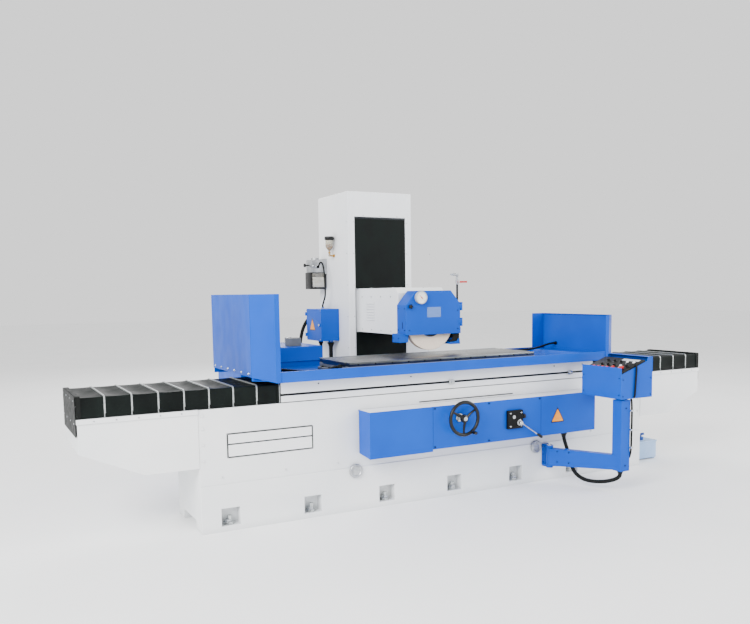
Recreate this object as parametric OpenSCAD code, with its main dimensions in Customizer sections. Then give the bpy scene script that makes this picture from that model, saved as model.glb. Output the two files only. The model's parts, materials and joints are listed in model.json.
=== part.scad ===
// Column-moving hydraulic surface grinder.
// Millimetres. X runs along the table, Y from the operator to the column, Z up.
// The origin is on the floor, under the middle of the main bed.

/* [Bed] */
// Length of the main bed casting
bed_l = 3720; // [3680:10:3760]
// Width of the main bed casting
bed_w = 570; // [560:2:580]
// Height of the bed's top edge
bed_h = 778; // [774:1:779]
// Length of the chip trough past each end of the bed
trough_l = 690; // [670:10:710]

/* [Table] */
// Length of the table casting
table_l = 2640; // [2600:10:2660]
// Height of the table's upper face
table_top = 920; // [918:1:921]
// Height of the chuck's working face
chuck_top = 1000; // [996:1:1002]
// Length of the magnetic chuck
chuck_l = 1600; // [1500:10:1620]
// Width of the magnetic chuck
chuck_w = 500; // [460:10:510]
// Top edge of the tall splash guard at the left end
left_guard_top = 1474; // [1300:2:1500]
// Top edge of the splash guard at the right end
right_guard_top = 1270; // [1200:2:1400]

/* [Column] */
// Width of the column
column_w = 600; // [590:2:610]
// Height of the column's top
column_top = 2300; // [2290:2:2330]
// Height of the spindle's axis above the floor
spindle_z = 1237; // [1235:1:1245]

/* [Wheel] */
// Diameter of the grinding wheel
wheel_d = 406; // [380:1:410]
// Width of the grinding wheel
wheel_w = 50; // [40:1:52]
// Bore of the grinding wheel
wheel_bore = 127; // [120:1:130]

/* [Controls] */
// Diameter of the table handwheel
handwheel_d = 254; // [230:2:260]
// Length of the control box on the pendant
console_l = 396; // [380:2:400]

/* [Hidden] */
$fn = 48;

paint_blue = "#1878e0";
paint_white = "#eceeef";
black = "#141716";
steel = "#a9adb2";
iron = "#6d7176";
eps = 1; // how far a cutting shape runs past the face that it cuts

// Bed
bed_x = bed_l / 2;
bed_y = bed_w / 2;
wall = 40;
channel_z = 735;   // floor of the channel between the bed's side walls
flat_way_z = 765;  // top of the flat way
vee_way_z = 772;   // ridge of the vee way
vee_y = -150;
flat_y = 160;
film = 0.1;        // gap between sliding faces
cyl_z = 690;       // axis of the table cylinder
cyl_r = 48;
rod_r = 20;
bay_pitch = 600;   // pitch of the ribs under the bed
pocket_pitch = 558;
pocket_n = 7;
pocket_z = 90;
trough_x = bed_x + trough_l;

// Front covers
fair_x0 = -770;
fair_step_x = -280;
fair_seam_x = 665;
fair_x1 = 1200;
fair_y = -445;
fair_top = 690;
sheet = 4;
wheel_x = -62;     // handwheel shaft
wheel_z = 597;
wheel_y = -505;
valve_x = 411;
valve_z = 543;

// Table
table_x = table_l / 2;
table_bottom = 784;
slot_z = 831;      // middle of the trip-dog slot
tray_y0 = -385;
tray_y1 = 535;
tray_x = 1512;     // end walls of the splash tray
wing_x = 1387;     // front ends of the corner wings
tray_half = 1385;  // half length of the tray's front wall
tray_lip = 988;
tray_end_z = 955;
chuck_x = 10;
chuck_y = 55;
rod_end_x = 1290;

// Column and head
col_x = 40;
col_y0 = 873;
col_y1 = 1465;
col_side = column_w / 2;
saddle_z = 600;
saddle_top = 680;
open_half = 240;   // half width of the column's front opening
open_z0 = 700;
open_z1 = 2095;
web_y = 960;
rail_y = 925;
screw_y = 1030;
screw_r = 20;
cross_screw_z = 520;
cross_screw_r = 16;
head_half = 210;
head_y = 215;
head_z0 = 1150;
head_z1 = 1507;

// Wheel and its guard
wheel_mid_y = 120;
guard_x0 = -193;
guard_x1 = 290;
guard_y0 = 61;
guard_y1 = 195;
guard_z0 = 1154;
guard_z1 = 1482;
guard_t = 6;
hinge_x = 298;
hinge_y = 56;

// Boxes on the column's side
cab_x1 = 535;
cab_y0 = 905;
cab_y1 = 1215;
cab_z0 = 704;
cab_z1 = 1088;
jb_x = -260;
jb_w = 163;
jb_y0 = 1073;
jb_y1 = 1390;
jb_z0 = 1070;
jb_z1 = 1340;
jb_hinges = [1115, 1295];
jb_pin_y = 1396;
lub_y = 1365;

// Pendant
arm_x = 820;
arm_y = -365;
post_x = 1084;
post_y = -832;
post_s = 88;
con_x0 = 1011;
con_w = 308;
con_y0 = -897;
con_z0 = 689;
panel_run = 250;
panel_z0 = 868;
panel_rise = 88;
panel_a = atan2(panel_rise, panel_run);
button_spots = [[64, 60], [64, 140]];
selector_spot = [110, 45];

// Routes of the cables
pendant_route = [[940, -385, 385], [940, -388, 340], [942, -418, 270], [943, -452, 190],
    [944, -492, 112], [948, -560, 70], [975, -630, 52], [1020, -710, 56], [1060, -786, 80],
    [1080, -822, 108], [1084, -830, 134], [1084, -830, 156]];
lead_route = [[-350, 1294, 1700], [-350, 1282, 1702], [-350, 1240, 1736], [-350, 1196, 1722],
    [-349, 1168, 1660], [-347, 1160, 1560], [-345, 1162, 1460], [-343, 1198, 1405],
    [-342, 1224, 1372], [-342, 1224, 1353]];
conduit_a = [[-260.5, 1440, 1300], [-320, 1440, 1292], [-390, 1440, 1245], [-440, 1435, 1170],
    [-470, 1425, 1080], [-490, 1405, 1010], [-525, 1380, 955], [-542, 1380, 955],
    [-558.5, 1380, 955]];
conduit_b = [[-360, 1240, 1055], [-362, 1240, 1000], [-390, 1236, 920], [-450, 1230, 860],
    [-525, 1225, 836], [-542, 1225, 836], [-558.5, 1225, 836]];
conduit_c = [[-320, 1120, 1055], [-322, 1118, 960], [-322, 1114, 840], [-318, 1108, 740],
    [-315, 1105, 681]];
chuck_left = [[-791.5, -60, 962], [-840, -60, 962], [-900, -80, 950], [-980, -60, 940],
    [-1060, 30, 940], [-1110, 160, 940], [-1180, 300, 944], [-1280, 400, 958],
    [-1370, 440, 985], [-1430, 450, 1030], [-1480, 450, 1050], [-1510, 450, 1050]];
chuck_right = [[811.5, 200, 962], [870, 200, 966], [960, 240, 975], [1080, 290, 972],
    [1200, 330, 972], [1320, 355, 984], [1410, 365, 1002], [1480, 366, 1010], [1510, 366, 1010]];

module block(x0, x1, y0, y1, z0, z1)
    translate([x0, y0, z0]) cube([x1 - x0, y1 - y0, z1 - z0]);

// Cylinders from a to b along one axis
module along_x(y, z, r, a, b) translate([a, y, z]) rotate([0, 90, 0]) cylinder(h = b - a, r = r);
module along_y(x, z, r, a, b) translate([x, a, z]) rotate([-90, 0, 0]) cylinder(h = b - a, r = r);
module along_z(x, y, r, a, b) translate([x, y, a]) cylinder(h = b - a, r = r);

// Solid with an outline in Y and Z that runs from x0 to x1
module run_x(x0, x1, outline)
    translate([x0, 0, 0]) rotate([90, 0, 90]) linear_extrude(x1 - x0) polygon(outline);

// Solid with an outline in X and Z that runs from y0 to y1
module run_y(y0, y1, outline)
    translate([0, y1, 0]) rotate([90, 0, 0]) linear_extrude(y1 - y0) polygon(outline);

// Upright plate from point a to point b in plan, with its own bottom height at each end
module wall_plate(a, b, t, low_a, low_b, top) {
    run = norm(b - a);
    translate([a.x, a.y, 0]) rotate([0, 0, atan2(b.y - a.y, b.x - a.x)])
        rotate([90, 0, 0]) linear_extrude(t, center = true)
            polygon([[0, low_a], [run, low_b], [run, top], [0, top]]);
}

// Smooth route through a list of points, n steps to each span
function clamp(i, n) = max(0, min(n, i));
function blend(a, b, c, d, t) = 0.5 * (2 * b + (c - a) * t + (2 * a - 5 * b + 4 * c - d) * t * t
    + (3 * b - a - 3 * c + d) * t * t * t);
function smooth(p, n) = let (e = len(p) - 1) concat(
    [for (i = [0:e - 1], k = [0:n - 1])
        blend(p[clamp(i - 1, e)], p[i], p[i + 1], p[clamp(i + 2, e)], k / n)],
    [p[e]]);
function unit(v) = v / norm(v);

// Round cable swept along a route; side is a direction that the route never runs along
module cable(points, r, steps, side) {
    sides = 8;
    path = smooth(points, steps);
    last = len(path) - 1;
    rings = [for (i = [0:last]) let (
            t = unit(path[min(i + 1, last)] - path[max(i - 1, 0)]),
            u = unit(cross(t, side)),
            v = cross(t, u))
        for (k = [0:sides - 1])
            path[i] + r * (cos(k * 360 / sides) * u + sin(k * 360 / sides) * v)];
    skin = [for (i = [0:last - 1], k = [0:sides - 1]) let (
            a = i * sides + k, b = i * sides + (k + 1) % sides)
        [a, b, b + sides, a + sides]];
    caps = [[for (k = [sides - 1:-1:0]) k], [for (k = [0:sides - 1]) last * sides + k]];
    polyhedron(points = rings, faces = [for (f = concat(skin, caps)) [for (j = [len(f) - 1:-1:0]) f[j]]],
        convexity = 6);
}

// ---- Bed ----

module bed_casting() color(paint_white) difference() {
    union() {
        difference() {
            union() {
                block(-bed_x, bed_x, -bed_y + 6, bed_y, 0, bed_h);
                block(-bed_x, bed_x, -bed_y, bed_y, 0, 300);
            }
            // channel for the ways, and the trench for the cylinder
            block(-bed_x - eps, bed_x + eps, -bed_y + wall, bed_y - wall, channel_z, bed_h + eps);
            block(-bed_x - eps, bed_x + eps, -64, 64, 630, channel_z + eps);
            // hollow bays, open to the floor
            for (i = [-3:2])
                block(i * bay_pitch + 20, (i + 1) * bay_pitch - 20, -bed_y + wall + 36,
                    bed_y - wall - 36, -eps, 590);
            // arch between the feet at each end
            for (s = [-1, 1]) block(s * bed_x - 60, s * bed_x + 60, -150, 150, -eps, 60);
            for (i = [0:pocket_n - 1], s = [-1, 1]) let (x = (i - (pocket_n - 1) / 2) * pocket_pitch)
                block(x - 61, x + 61, s * bed_y - 70, s * bed_y + 70, pocket_z - 56, pocket_z + 57);
        }
        // vee way and flat way
        run_x(-bed_x, bed_x, [[vee_y - 60, channel_z - 1], [vee_y + 60, channel_z - 1],
            [vee_y + 46, channel_z + 6], [vee_y + 6, vee_way_z], [vee_y - 6, vee_way_z],
            [vee_y - 46, channel_z + 6]]);
        block(-bed_x, bed_x, flat_y - 50, flat_y + 50, channel_z - 1, flat_way_z);
        // shelf over the front covers, and the boss for the handwheel shaft
        block(fair_x0 + sheet, fair_x1 - sheet, fair_y + sheet, -bed_y + 7, fair_top - 8, fair_top);
        along_y(wheel_x, wheel_z, 38, -340, -bed_y + 7);
    }
    for (i = [0:pocket_n - 1], s = [-1, 1]) let (x = (i - (pocket_n - 1) / 2) * pocket_pitch)
        along_z(x, s * (bed_y - 35), 14.3, -eps, pocket_z);
    along_y(wheel_x, wheel_z, 12.05, -340 - eps, -260);
}

// Chip trough past one end of the bed, drawn for the right end
module trough() {
    inner = 12;
    foot = 326;
    profile = [[bed_x, 417], [bed_x + foot, 417], [trough_x, 578], [trough_x, bed_h + 3],
        [bed_x, bed_h + 3]];
    hollow = [[bed_x - eps, 417 + inner], [bed_x + foot - 2, 417 + inner],
        [trough_x - inner, 578 + inner], [trough_x - inner, bed_h + 20], [bed_x - eps, bed_h + 20]];
    difference() {
        run_y(-bed_y + 3, bed_y - 3, profile);
        run_y(-bed_y + 3 + inner, bed_y - 3 - inner, hollow);
    }
    // rim
    for (s = [-1, 1]) block(bed_x, trough_x, s * (bed_y - 2) - 5, s * (bed_y - 2) + 5, 752, bed_h + 3);
    block(trough_x - 4, trough_x + 5, -bed_y - 3, bed_y + 3, 752, bed_h + 3);
}

module troughs() color(paint_white) {
    trough();
    mirror([1, 0, 0]) trough();
}

module table_cylinder() color(iron) difference() {
    union() {
        along_x(0, cyl_z, cyl_r, -1840, 100);
        for (x = [-1840, 70]) block(x, x + 30, -63.9, 63.9, 630, cyl_z + 44);
    }
    along_x(0, cyl_z, 40, -1815, 70);
    along_x(0, cyl_z, rod_r + 0.05, 60, 101);
}

module levelling_screws() color(steel)
    for (i = [0:pocket_n - 1], s = [-1, 1]) let (
            x = (i - (pocket_n - 1) / 2) * pocket_pitch, y = s * (bed_y - 35)) {
        along_z(x, y, 14.2, 0, 92);
        translate([x, y, pocket_z - 56]) cylinder(h = 18, r = 24, $fn = 6);
    }

module sight_plugs() color(steel) for (x = [-800, 746]) {
    along_y(x, 276, 47, -bed_y - 16, -bed_y);
    along_y(x, 276, 36, -bed_y - 20, -bed_y - 16);
}

// Cross-section of the front covers: the bottom falls towards the front
function cover_outline(low) = [[-bed_y, low + 16], [fair_y, low], [fair_y, fair_top - 8.5],
    [-bed_y, fair_top - 8.5]];
function cover_hollow(low) = [[-bed_y + eps, low + 20], [fair_y + sheet, low + 4],
    [fair_y + sheet, fair_top], [-bed_y + eps, fair_top]];

module cover_front(x0, x1, z1) block(x0, x1, fair_y, fair_y + sheet, fair_top - 9, z1);

// One stretch of cover from x0 to x1, closed at the ends that are not open
module cover(x0, x1, low, open0, open1) {
    difference() {
        run_x(x0, x1, cover_outline(low));
        run_x(x0 + (open0 ? -eps : sheet), x1 + (open1 ? eps : -sheet), cover_hollow(low));
    }
    cover_front(x0, x1, fair_top);
    if (!open0) block(x0, x0 + sheet, fair_y, -bed_y + 5, fair_top - 9, fair_top);
    if (!open1) block(x1 - sheet, x1, fair_y, -bed_y + 5, fair_top - 9, fair_top);
}

module front_covers() color(paint_blue) {
    cover(fair_x0, fair_step_x - 0.5, 377, false, true);
    difference() {
        cover(fair_step_x, fair_seam_x, 392, true, true);
        along_y(wheel_x, wheel_z, 30, fair_y - eps, fair_y + sheet + eps);
    }
    cover(fair_seam_x + 0.5, fair_x1, 392, true, false);
    // gland for the pendant's conduit
    along_z(pendant_route[0].x, pendant_route[0].y, 22, pendant_route[0].z + 1, 400);
}

module panel_screws() color(black)
    for (p = [[-266, 676], [-266, 410], [190, 408], [650, 676], [650, 410], [190, 676]])
        along_y(p.x, p.y, 5, fair_y - 4, fair_y);

module valve_box() color(black) {
    block(valve_x - 67, valve_x + 67, fair_y - 24, fair_y, valve_z - 67, valve_z + 67);
    block(valve_x - 58, valve_x + 58, fair_y - 27, fair_y - 24, valve_z - 58, valve_z + 58);
    along_x(fair_y - 13, valve_z + 18, 10, valve_x + 67, valve_x + 74);
    along_x(fair_y - 13, valve_z + 18, 12, valve_x + 74, valve_x + 92);
}

module cross_bed() color(paint_white) difference() {
    union() {
        block(col_x - 340, col_x + 340, bed_y, 1800, 0, 560);
        for (s = [-1, 1]) block(col_x + s * 235 - 45, col_x + s * 235 + 45, bed_y + 25, 1790, 559,
            saddle_z);
    }
    block(col_x - 110, col_x + 110, bed_y + 40, 1760, 440, 561);
    for (y = [330, 830, 1320]) block(col_x - 300, col_x + 300, y, y + 440, -eps, 400);
    // seats for the feed screw's ends
    along_y(col_x, cross_screw_z, 12.06, 300, 330);
    along_y(col_x, cross_screw_z, 20, 1750, 1801);
}

module cross_motor() color(iron) {
    block(col_x - 65, col_x + 65, 1800, 1816, cross_screw_z - 65, cross_screw_z + 65);
    block(col_x - 58, col_x + 58, 1816, 1960, cross_screw_z - 58, cross_screw_z + 58);
    block(col_x - 50, col_x + 50, 1960, 2000, cross_screw_z - 50, cross_screw_z + 50);
    block(col_x - 22, col_x + 22, 1880, 1925, cross_screw_z + 58, cross_screw_z + 92);
}

module hydraulic_tank() color(paint_blue) {
    difference() {
        block(-1230, -560, 800, 1400, 40, 1040);
        block(-1226, -564, 804, 1396, 44, 1020);
    }
    block(-1240, -550, 790, 1410, 1040, 1055);
    for (x = [-1200, -640], y = [830, 1320]) block(x, x + 50, y, y + 50, 0, 40);
}

module hydraulic_motor() color(iron) {
    along_z(-1030, 1130, 130, 1055, 1075);
    along_z(-1030, 1130, 92, 1075, 1330);
    along_z(-1030, 1130, 100, 1330, 1385);
    block(-960, -900, 1080, 1180, 1150, 1260);
    block(-800, -700, 860, 960, 1055, 1120);
}

module coolant_tank() color("#a8c4e6") {
    difference() {
        block(1925, 2185, -165, 215, 12, 150);
        block(1928, 2182, -162, 212, 15, 151);
    }
    block(1920, 2190, -170, 220, 150, 162);
    for (x = [1930, 2150], y = [-155, 180]) block(x, x + 30, y, y + 30, 0, 12);
}

module coolant_pump() color("#2c6fc4") {
    along_z(1975, -90, 34, 162, 172);
    along_z(1975, -90, 28, 172, 232);
    along_z(1975, -90, 31, 232, 242);
    block(2060, 2090, -110, -80, 162, 190);
    along_z(2075, -95, 7, 190, 222);
    along_x(-95, 212, 12, 2082, 2104);
}

module arm_bracket() color(paint_blue) {
    block(arm_x - 12, arm_x + 52, -bed_y - 6, -bed_y, 128, 292);
    for (z = [122, 278]) {
        block(arm_x - 12, arm_x + 26, arm_y, -bed_y - 6, z, z + 16);
        along_z(arm_x, arm_y, 26, z, z + 16);
    }
    along_z(arm_x, arm_y, 12, 122, 294);
}

module pendant_conduit() color(black) cable(pendant_route, 15, 3, [1, 0.2, 0]);

// ---- Table ----

module table_casting() color(paint_white) difference() {
    union() {
        block(-table_x, table_x, -bed_y, bed_y, table_bottom, table_top);
        // runners for the vee way and the flat way
        run_x(-table_x, table_x, [[vee_y - 62, channel_z + 20], [vee_y + 62, channel_z + 20],
            [vee_y + 62, table_bottom + 1], [vee_y - 62, table_bottom + 1]]);
        block(-table_x, table_x, flat_y - 48, flat_y + 48, flat_way_z + film, table_bottom + 1);
    }
    run_x(-table_x - eps, table_x + eps, [[vee_y - 63, channel_z - 9],
        [vee_y - 46 - film * 8, channel_z + 6], [vee_y - 6 - film * 8, vee_way_z + 4],
        [vee_y + 6 + film * 8, vee_way_z + 4], [vee_y + 46 + film * 8, channel_z + 6],
        [vee_y + 63, channel_z - 9]]);
    // T-slot for the trip dogs
    block(-table_x - eps, table_x + eps, -bed_y - eps, -bed_y + 10, slot_z - 7, slot_z + 7);
    block(-table_x - eps, table_x + eps, -bed_y + 9, -bed_y + 20, slot_z - 13, slot_z + 13);
    // chip gutters between the ribs of the upper face
    for (s = [-1, 1]) block(-table_x + 60, table_x - 60, s * 275 - 6, s * 275 + 6, table_top - 12,
        table_top + eps);
}

module splash_tray() color(paint_blue) {
    block(-1345, 1345, tray_y0, tray_y1, table_top, table_top + sheet);
    for (s = [-1, 1]) mirror([s < 0 ? 1 : 0, 0, 0]) {
        run_y(tray_y0 + 100, tray_y1, [[1344, table_top], [1360, tray_end_z], [tray_x, tray_end_z],
            [tray_x, tray_end_z + sheet], [1357, tray_end_z + sheet], [1341, table_top + sheet]]);
        translate([0, 0, table_top + 12]) linear_extrude(sheet)
            polygon([[1338, tray_y0], [tray_half, tray_y0], [tray_x - 1, -bed_y],
                [tray_x - 1, -bed_y + 3], [1338, -bed_y + 3]]);
        wall_plate([1339, tray_y0 + 2], [1339, -bed_y + 3], sheet, table_top, table_top, table_top + 16);
        wall_plate([1339, -bed_y + 2], [tray_x, -bed_y + 2], sheet, table_top + 12, table_top + 12,
            tray_end_z + sheet);
    }
    block(-tray_half, tray_half, tray_y0, tray_y0 + sheet, table_top, tray_lip);
    block(-tray_half, tray_half, tray_y0, tray_y0 + 14, tray_lip - sheet, tray_lip);
    block(-tray_x, tray_x, tray_y1 - sheet, tray_y1, table_top, 970);
    block(-tray_x, tray_x, tray_y1 - 14, tray_y1, 970 - sheet, 970);
    block(-tray_x, -660, tray_y1 - sheet, tray_y1, 969, 1070);
}

// End guard with its corner wing, drawn for the right end
module end_guard(top) {
    t = sheet;
    wall_plate([tray_x + t / 2, -bed_y], [tray_x + t / 2, tray_y1 + sheet], t, tray_end_z, tray_end_z, top);
    wall_plate([wing_x, tray_y0 - t / 2], [tray_x + t / 2, -bed_y - t / 2], t, table_top + 2,
        tray_end_z, top);
    wall_plate([wing_x - 30, tray_y0 - t / 2], [wing_x + 2, tray_y0 - t / 2], t, table_top + 2,
        table_top + 2, top);
    wall_plate([tray_x + t / 2, tray_y1 + t / 2], [tray_x - 130, tray_y1 + t / 2], t, tray_end_z,
        tray_end_z, top);
    // folded rim along the top
    block(tray_x - 10, tray_x + t, -bed_y, tray_y1, top - t, top);
}

module guard_left() color(paint_blue) mirror([1, 0, 0]) end_guard(left_guard_top);
module guard_right() color(paint_blue) end_guard(right_guard_top);

module magnetic_chuck() color(steel) {
    x0 = chuck_x - chuck_l / 2;
    x1 = chuck_x + chuck_l / 2;
    y0 = chuck_y - chuck_w / 2;
    y1 = chuck_y + chuck_w / 2;
    z0 = table_top + sheet;
    block(x0, x1, y0, y1, z0, z0 + 48);
    block(x0 + 4, x1 - 4, y0 + 4, y1 - 4, z0 + 48, chuck_top);
    // side stop rail, and the foot flanges for the clamps
    block(x0 + 4, x1 - 4, y1 - 4, y1 + 8, z0 + 30, chuck_top + 2);
    for (s = [-1, 1]) block(chuck_x + s * (chuck_l / 2 + 12) - 12, chuck_x + s * (chuck_l / 2 + 12) + 12,
        y0 + 20, y1 - 20, z0, z0 + 18);
}

module cylinder_rod() color(steel) {
    along_x(0, cyl_z, rod_r, -870, rod_end_x);
    along_x(0, cyl_z, 39.95, -890, -850);
    block(rod_end_x, rod_end_x + 30, -44, 44, cyl_z - 34, table_bottom);
}

module chuck_cables() color(black) {
    cable(chuck_left, 12, 3, [0, 0, 1]);
    cable(chuck_right, 9, 3, [0, 0, 1]);
}

// Pleated way cover over one trough, drawn for the right end
module bellows() {
    folds = 8;
    x0 = table_x + 8;
    pitch = (trough_x - 2 - x0) / folds;
    low = bed_h + 6;
    high = 905;
    for (i = [0:folds - 1]) translate([x0 + i * pitch, 0, 0]) difference() {
        block(0, pitch, -bed_y + 8, bed_y - 8, low, high);
        block(-eps, pitch + eps, -bed_y + 14, bed_y - 14, low - eps, high - 6);
    }
    for (i = [0:folds]) translate([x0 + i * pitch - (i == folds ? 3 : 0), 0, 0]) difference() {
        block(0, 3, -bed_y + 3, bed_y - 3, low, 911);
        block(-eps, 4, -bed_y + 16, bed_y - 16, low - eps, high - 8);
    }
    // rubber flap that hangs over the trough's end wall
    block(trough_x - 3, trough_x + 9, -bed_y + 3, bed_y - 3, 905, 911);
    block(trough_x + 6, trough_x + 9, -bed_y + 3, bed_y - 3, 676, 911);
}

module bellows_left() color(black) mirror([1, 0, 0]) bellows();
module bellows_right() color(black) bellows();

// Trip dog in the table's T-slot
module trip_dog(x) {
    block(x - 22, x + 22, -bed_y - 14, -bed_y - 0.2, slot_z - 15, slot_z + 14);
    block(x - 20, x + 20, -bed_y - 1, -bed_y + 12, slot_z - 6.8, slot_z + 6.8);
    block(x - 20, x + 20, -bed_y + 10.2, -bed_y + 18, slot_z - 12, slot_z + 12);
    along_y(x, slot_z, 6, -bed_y - 20, -bed_y - 13);
}

module trip_dog_left() color(steel) trip_dog(-27);
module trip_dog_right() color(steel) trip_dog(1080);

// ---- Column ----

module column_casting() color(paint_white) {
    column_shell();
    side_cabinet();
    // cover over the service opening in the back
    block(col_x - 182, col_x + 182, col_y1 + 0.2, col_y1 + 5, 808, 1512);
}

// Cabinet on the column's right side: a hollow box with a door and an overhanging lid
module side_cabinet() difference() {
    union() {
        block(col_x + col_side - 1, cab_x1, cab_y0, cab_y1, cab_z0, cab_z1);
        block(cab_x1 - 1, cab_x1 + 3, cab_y0 + 12, cab_y1 - 12, cab_z0 + 12, cab_z1 - 12);
        block(col_x + col_side - 1, cab_x1 + 5, cab_y0 - 4, cab_y1 + 4, cab_z1, cab_z1 + 8);
    }
    block(col_x + col_side + 4, cab_x1 - 3, cab_y0 + 3, cab_y1 - 3, cab_z0 + 3, cab_z1 - 3);
    along_z(cab_x1 - 100, cab_y0 + 155, 30, cab_z0 - eps, cab_z0 + 4);
}

module column_shell() difference() {
    block(col_x - col_side, col_x + col_side, col_y0, col_y1, saddle_top, column_top);
    // front opening, chamber for the head's carriage, and the rear cavity
    block(col_x - open_half, col_x + open_half, col_y0 - eps, col_y0 + 13, open_z0, open_z1);
    difference() {
        block(col_x - 252, col_x + 252, col_y0 + 12, web_y, open_z0 - 10, column_top - 30);
        for (s = [-1, 1]) block(col_x + s * 182.5 - 32.5, col_x + s * 182.5 + 32.5, rail_y, web_y + eps,
            open_z0 - 10, column_top - 30);
    }
    difference() {
        block(col_x - 270, col_x + 270, web_y + 25, col_y1 - 28, saddle_top - eps, column_top - 30);
        // shelf that carries the motor of the elevating screw, and the screw's lower seat
        block(col_x - 120, col_x + 120, web_y + 24, 1130, 1960, 1990);
        block(col_x - 120, col_x + 120, web_y + 24, 1130, 700, 730);
    }
    block(col_x - 70, col_x + 70, web_y - eps, web_y + 26, 731, 1959);
    block(col_x - 64, col_x + 64, web_y - eps, web_y + 26, 1990, column_top - 30);
    along_z(col_x, screw_y, 14.06, 699, 731);
    along_z(col_x, screw_y, 26, 1959, 1991);
    // service opening in the back
    block(col_x - 170, col_x + 170, col_y1 - 29, col_y1 + eps, 820, 1500);
}

module column_saddle() color(paint_white) difference() {
    union() {
        block(col_x - 320, col_x + 320, col_y0 - 14, col_y1 + 14, saddle_z + film, saddle_top);
        for (s = [-1, 1]) block(col_x + s * 304 - 16, col_x + s * 304 + 16, col_y0 - 14, col_y1 + 14,
            564, saddle_z + 1);
        block(col_x - 45, col_x + 45, 1100, 1160, cross_screw_z - 40, saddle_z + 1);
        // terminal block for the conduit from the junction box
        block(conduit_c[4].x - 28, col_x - 319, 1075, 1135, 630, saddle_top);
    }
    along_y(col_x, cross_screw_z, cross_screw_r + 0.08, 1099, 1161);
    block(col_x - 250, col_x + 250, col_y0 + 130, col_y1 - 130, saddle_z + 40, saddle_top + eps);
}

module z_motor() color(iron) {
    along_z(col_x, screw_y, 60, 1990, 2200);
    along_z(col_x, screw_y, 50, 2200, 2240);
    block(col_x - 20, col_x + 20, screw_y + 50, screw_y + 92, 2080, 2140);
}

// Box on the column's side, open towards -X for its door
module junction_box() color(paint_blue) {
    difference() {
        block(jb_x - jb_w, jb_x, jb_y0, jb_y1, jb_z0, jb_z1);
        block(jb_x - jb_w - eps, jb_x - 3, jb_y0 + 3, jb_y1 - 3, jb_z0 + 3, jb_z1 - 3);
    }
    block(jb_x - 30, jb_x - 3, jb_y0 + 60, jb_y1 - 60, jb_z0 + 50, jb_z1 - 50);
    // fixed knuckles and pins of the door's hinges
    for (z = jb_hinges) {
        along_z(jb_x - jb_w - 6, jb_pin_y, 4, z - 15, z + 15);
        for (s = [-1, 1]) {
            along_z(jb_x - jb_w - 6, jb_pin_y, 8, z + s * 10.5 - 4.5, z + s * 10.5 + 4.5);
            block(jb_x - jb_w - 6, jb_x - jb_w + 14, jb_y1, jb_y1 + 5, z + s * 10.5 - 4.5,
                z + s * 10.5 + 4.5);
        }
    }
    // glands
    for (p = [conduit_b[0], conduit_c[0]]) along_z(p.x, p.y, 22, p.z + 1, jb_z0);
    along_z(lead_route[9].x, lead_route[9].y, 12, jb_z1, lead_route[9].z - 1);
}

module junction_door() color(paint_blue) difference() {
    union() {
        block(jb_x - jb_w - 4.4, jb_x - jb_w - 0.4, jb_y0, jb_y1 - 6, jb_z0, jb_z1);
        block(jb_x - jb_w - 14, jb_x - jb_w - 4.4, jb_y0 + 16, jb_y0 + 34, 1190, 1220);
        for (z = jb_hinges) {
            along_z(jb_x - jb_w - 6, jb_pin_y, 8, z - 5.5, z + 5.5);
            block(jb_x - jb_w - 8, jb_x - jb_w - 3, jb_y1 - 12, jb_pin_y, z - 5.5, z + 5.5);
        }
    }
    for (z = jb_hinges) along_z(jb_x - jb_w - 6, jb_pin_y, 4.06, z - 8, z + 8);
}

module lubricator() color(steel) {
    block(-278, jb_x, 1300, 1430, 1640, 1770);
    block(-405, -278, 1312, 1418, 1652, 1762);
    along_z(-345, lub_y, 34, 1762, 1780);
    difference() {
        block(-412, -272, 1306, 1424, 1512, 1652);
        block(-409, -275, 1309, 1421, 1515, 1650);
    }
    along_y(-350, 1700, 12, 1296, 1312);
}

module lubricator_knob() color(black) {
    along_x(lub_y, 1715, 6, -432, -405.2);
    along_x(lub_y, 1715, 17, -452, -432);
}

module oil_cup() color("#d9d6c8") {
    y = 1145;
    x = -306;
    along_x(y, 1790, 9, x, jb_x);
    along_z(x, y, 9, 1782, 1830);
    translate([x, y, 1830]) cylinder(h = 30, r1 = 9, r2 = 30);
    along_z(x, y, 32, 1860, 1925);
    along_z(x, y, 40, 1925, 1950);
}

// Flat way covers in the column's opening, above and below the head
module apron_upper() color(black)
    block(col_x - open_half + 4, col_x + open_half - 4, col_y0 + 3, col_y0 + 8, head_z1 + 2, open_z1 - 2);
module apron_lower() color(black)
    block(col_x - open_half + 4, col_x + open_half - 4, col_y0 + 3, col_y0 + 8, open_z0 + 2, head_z0 - 2);

module column_conduits() color(black) {
    cable(lead_route, 7, 3, [1, 0, 0]);
    cable(conduit_a, 16, 3, [0, 1, 0]);
    cable(conduit_b, 12, 3, [0, 1, 0]);
    cable(conduit_c, 18, 2, [0, 1, 0]);
}

module cross_screw() color(steel) {
    along_y(col_x, cross_screw_z, cross_screw_r, 331, 1700);
    along_y(col_x, cross_screw_z, 12, 305, 331);
    along_y(col_x, cross_screw_z, 12, 1700, 1799);
}

module z_screw() color(steel) {
    along_z(col_x, screw_y, screw_r, 732, 1950);
    along_z(col_x, screw_y, 14, 701, 732);
    along_z(col_x, screw_y, 14, 1950, 1989.8);
}

// ---- Head ----

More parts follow.
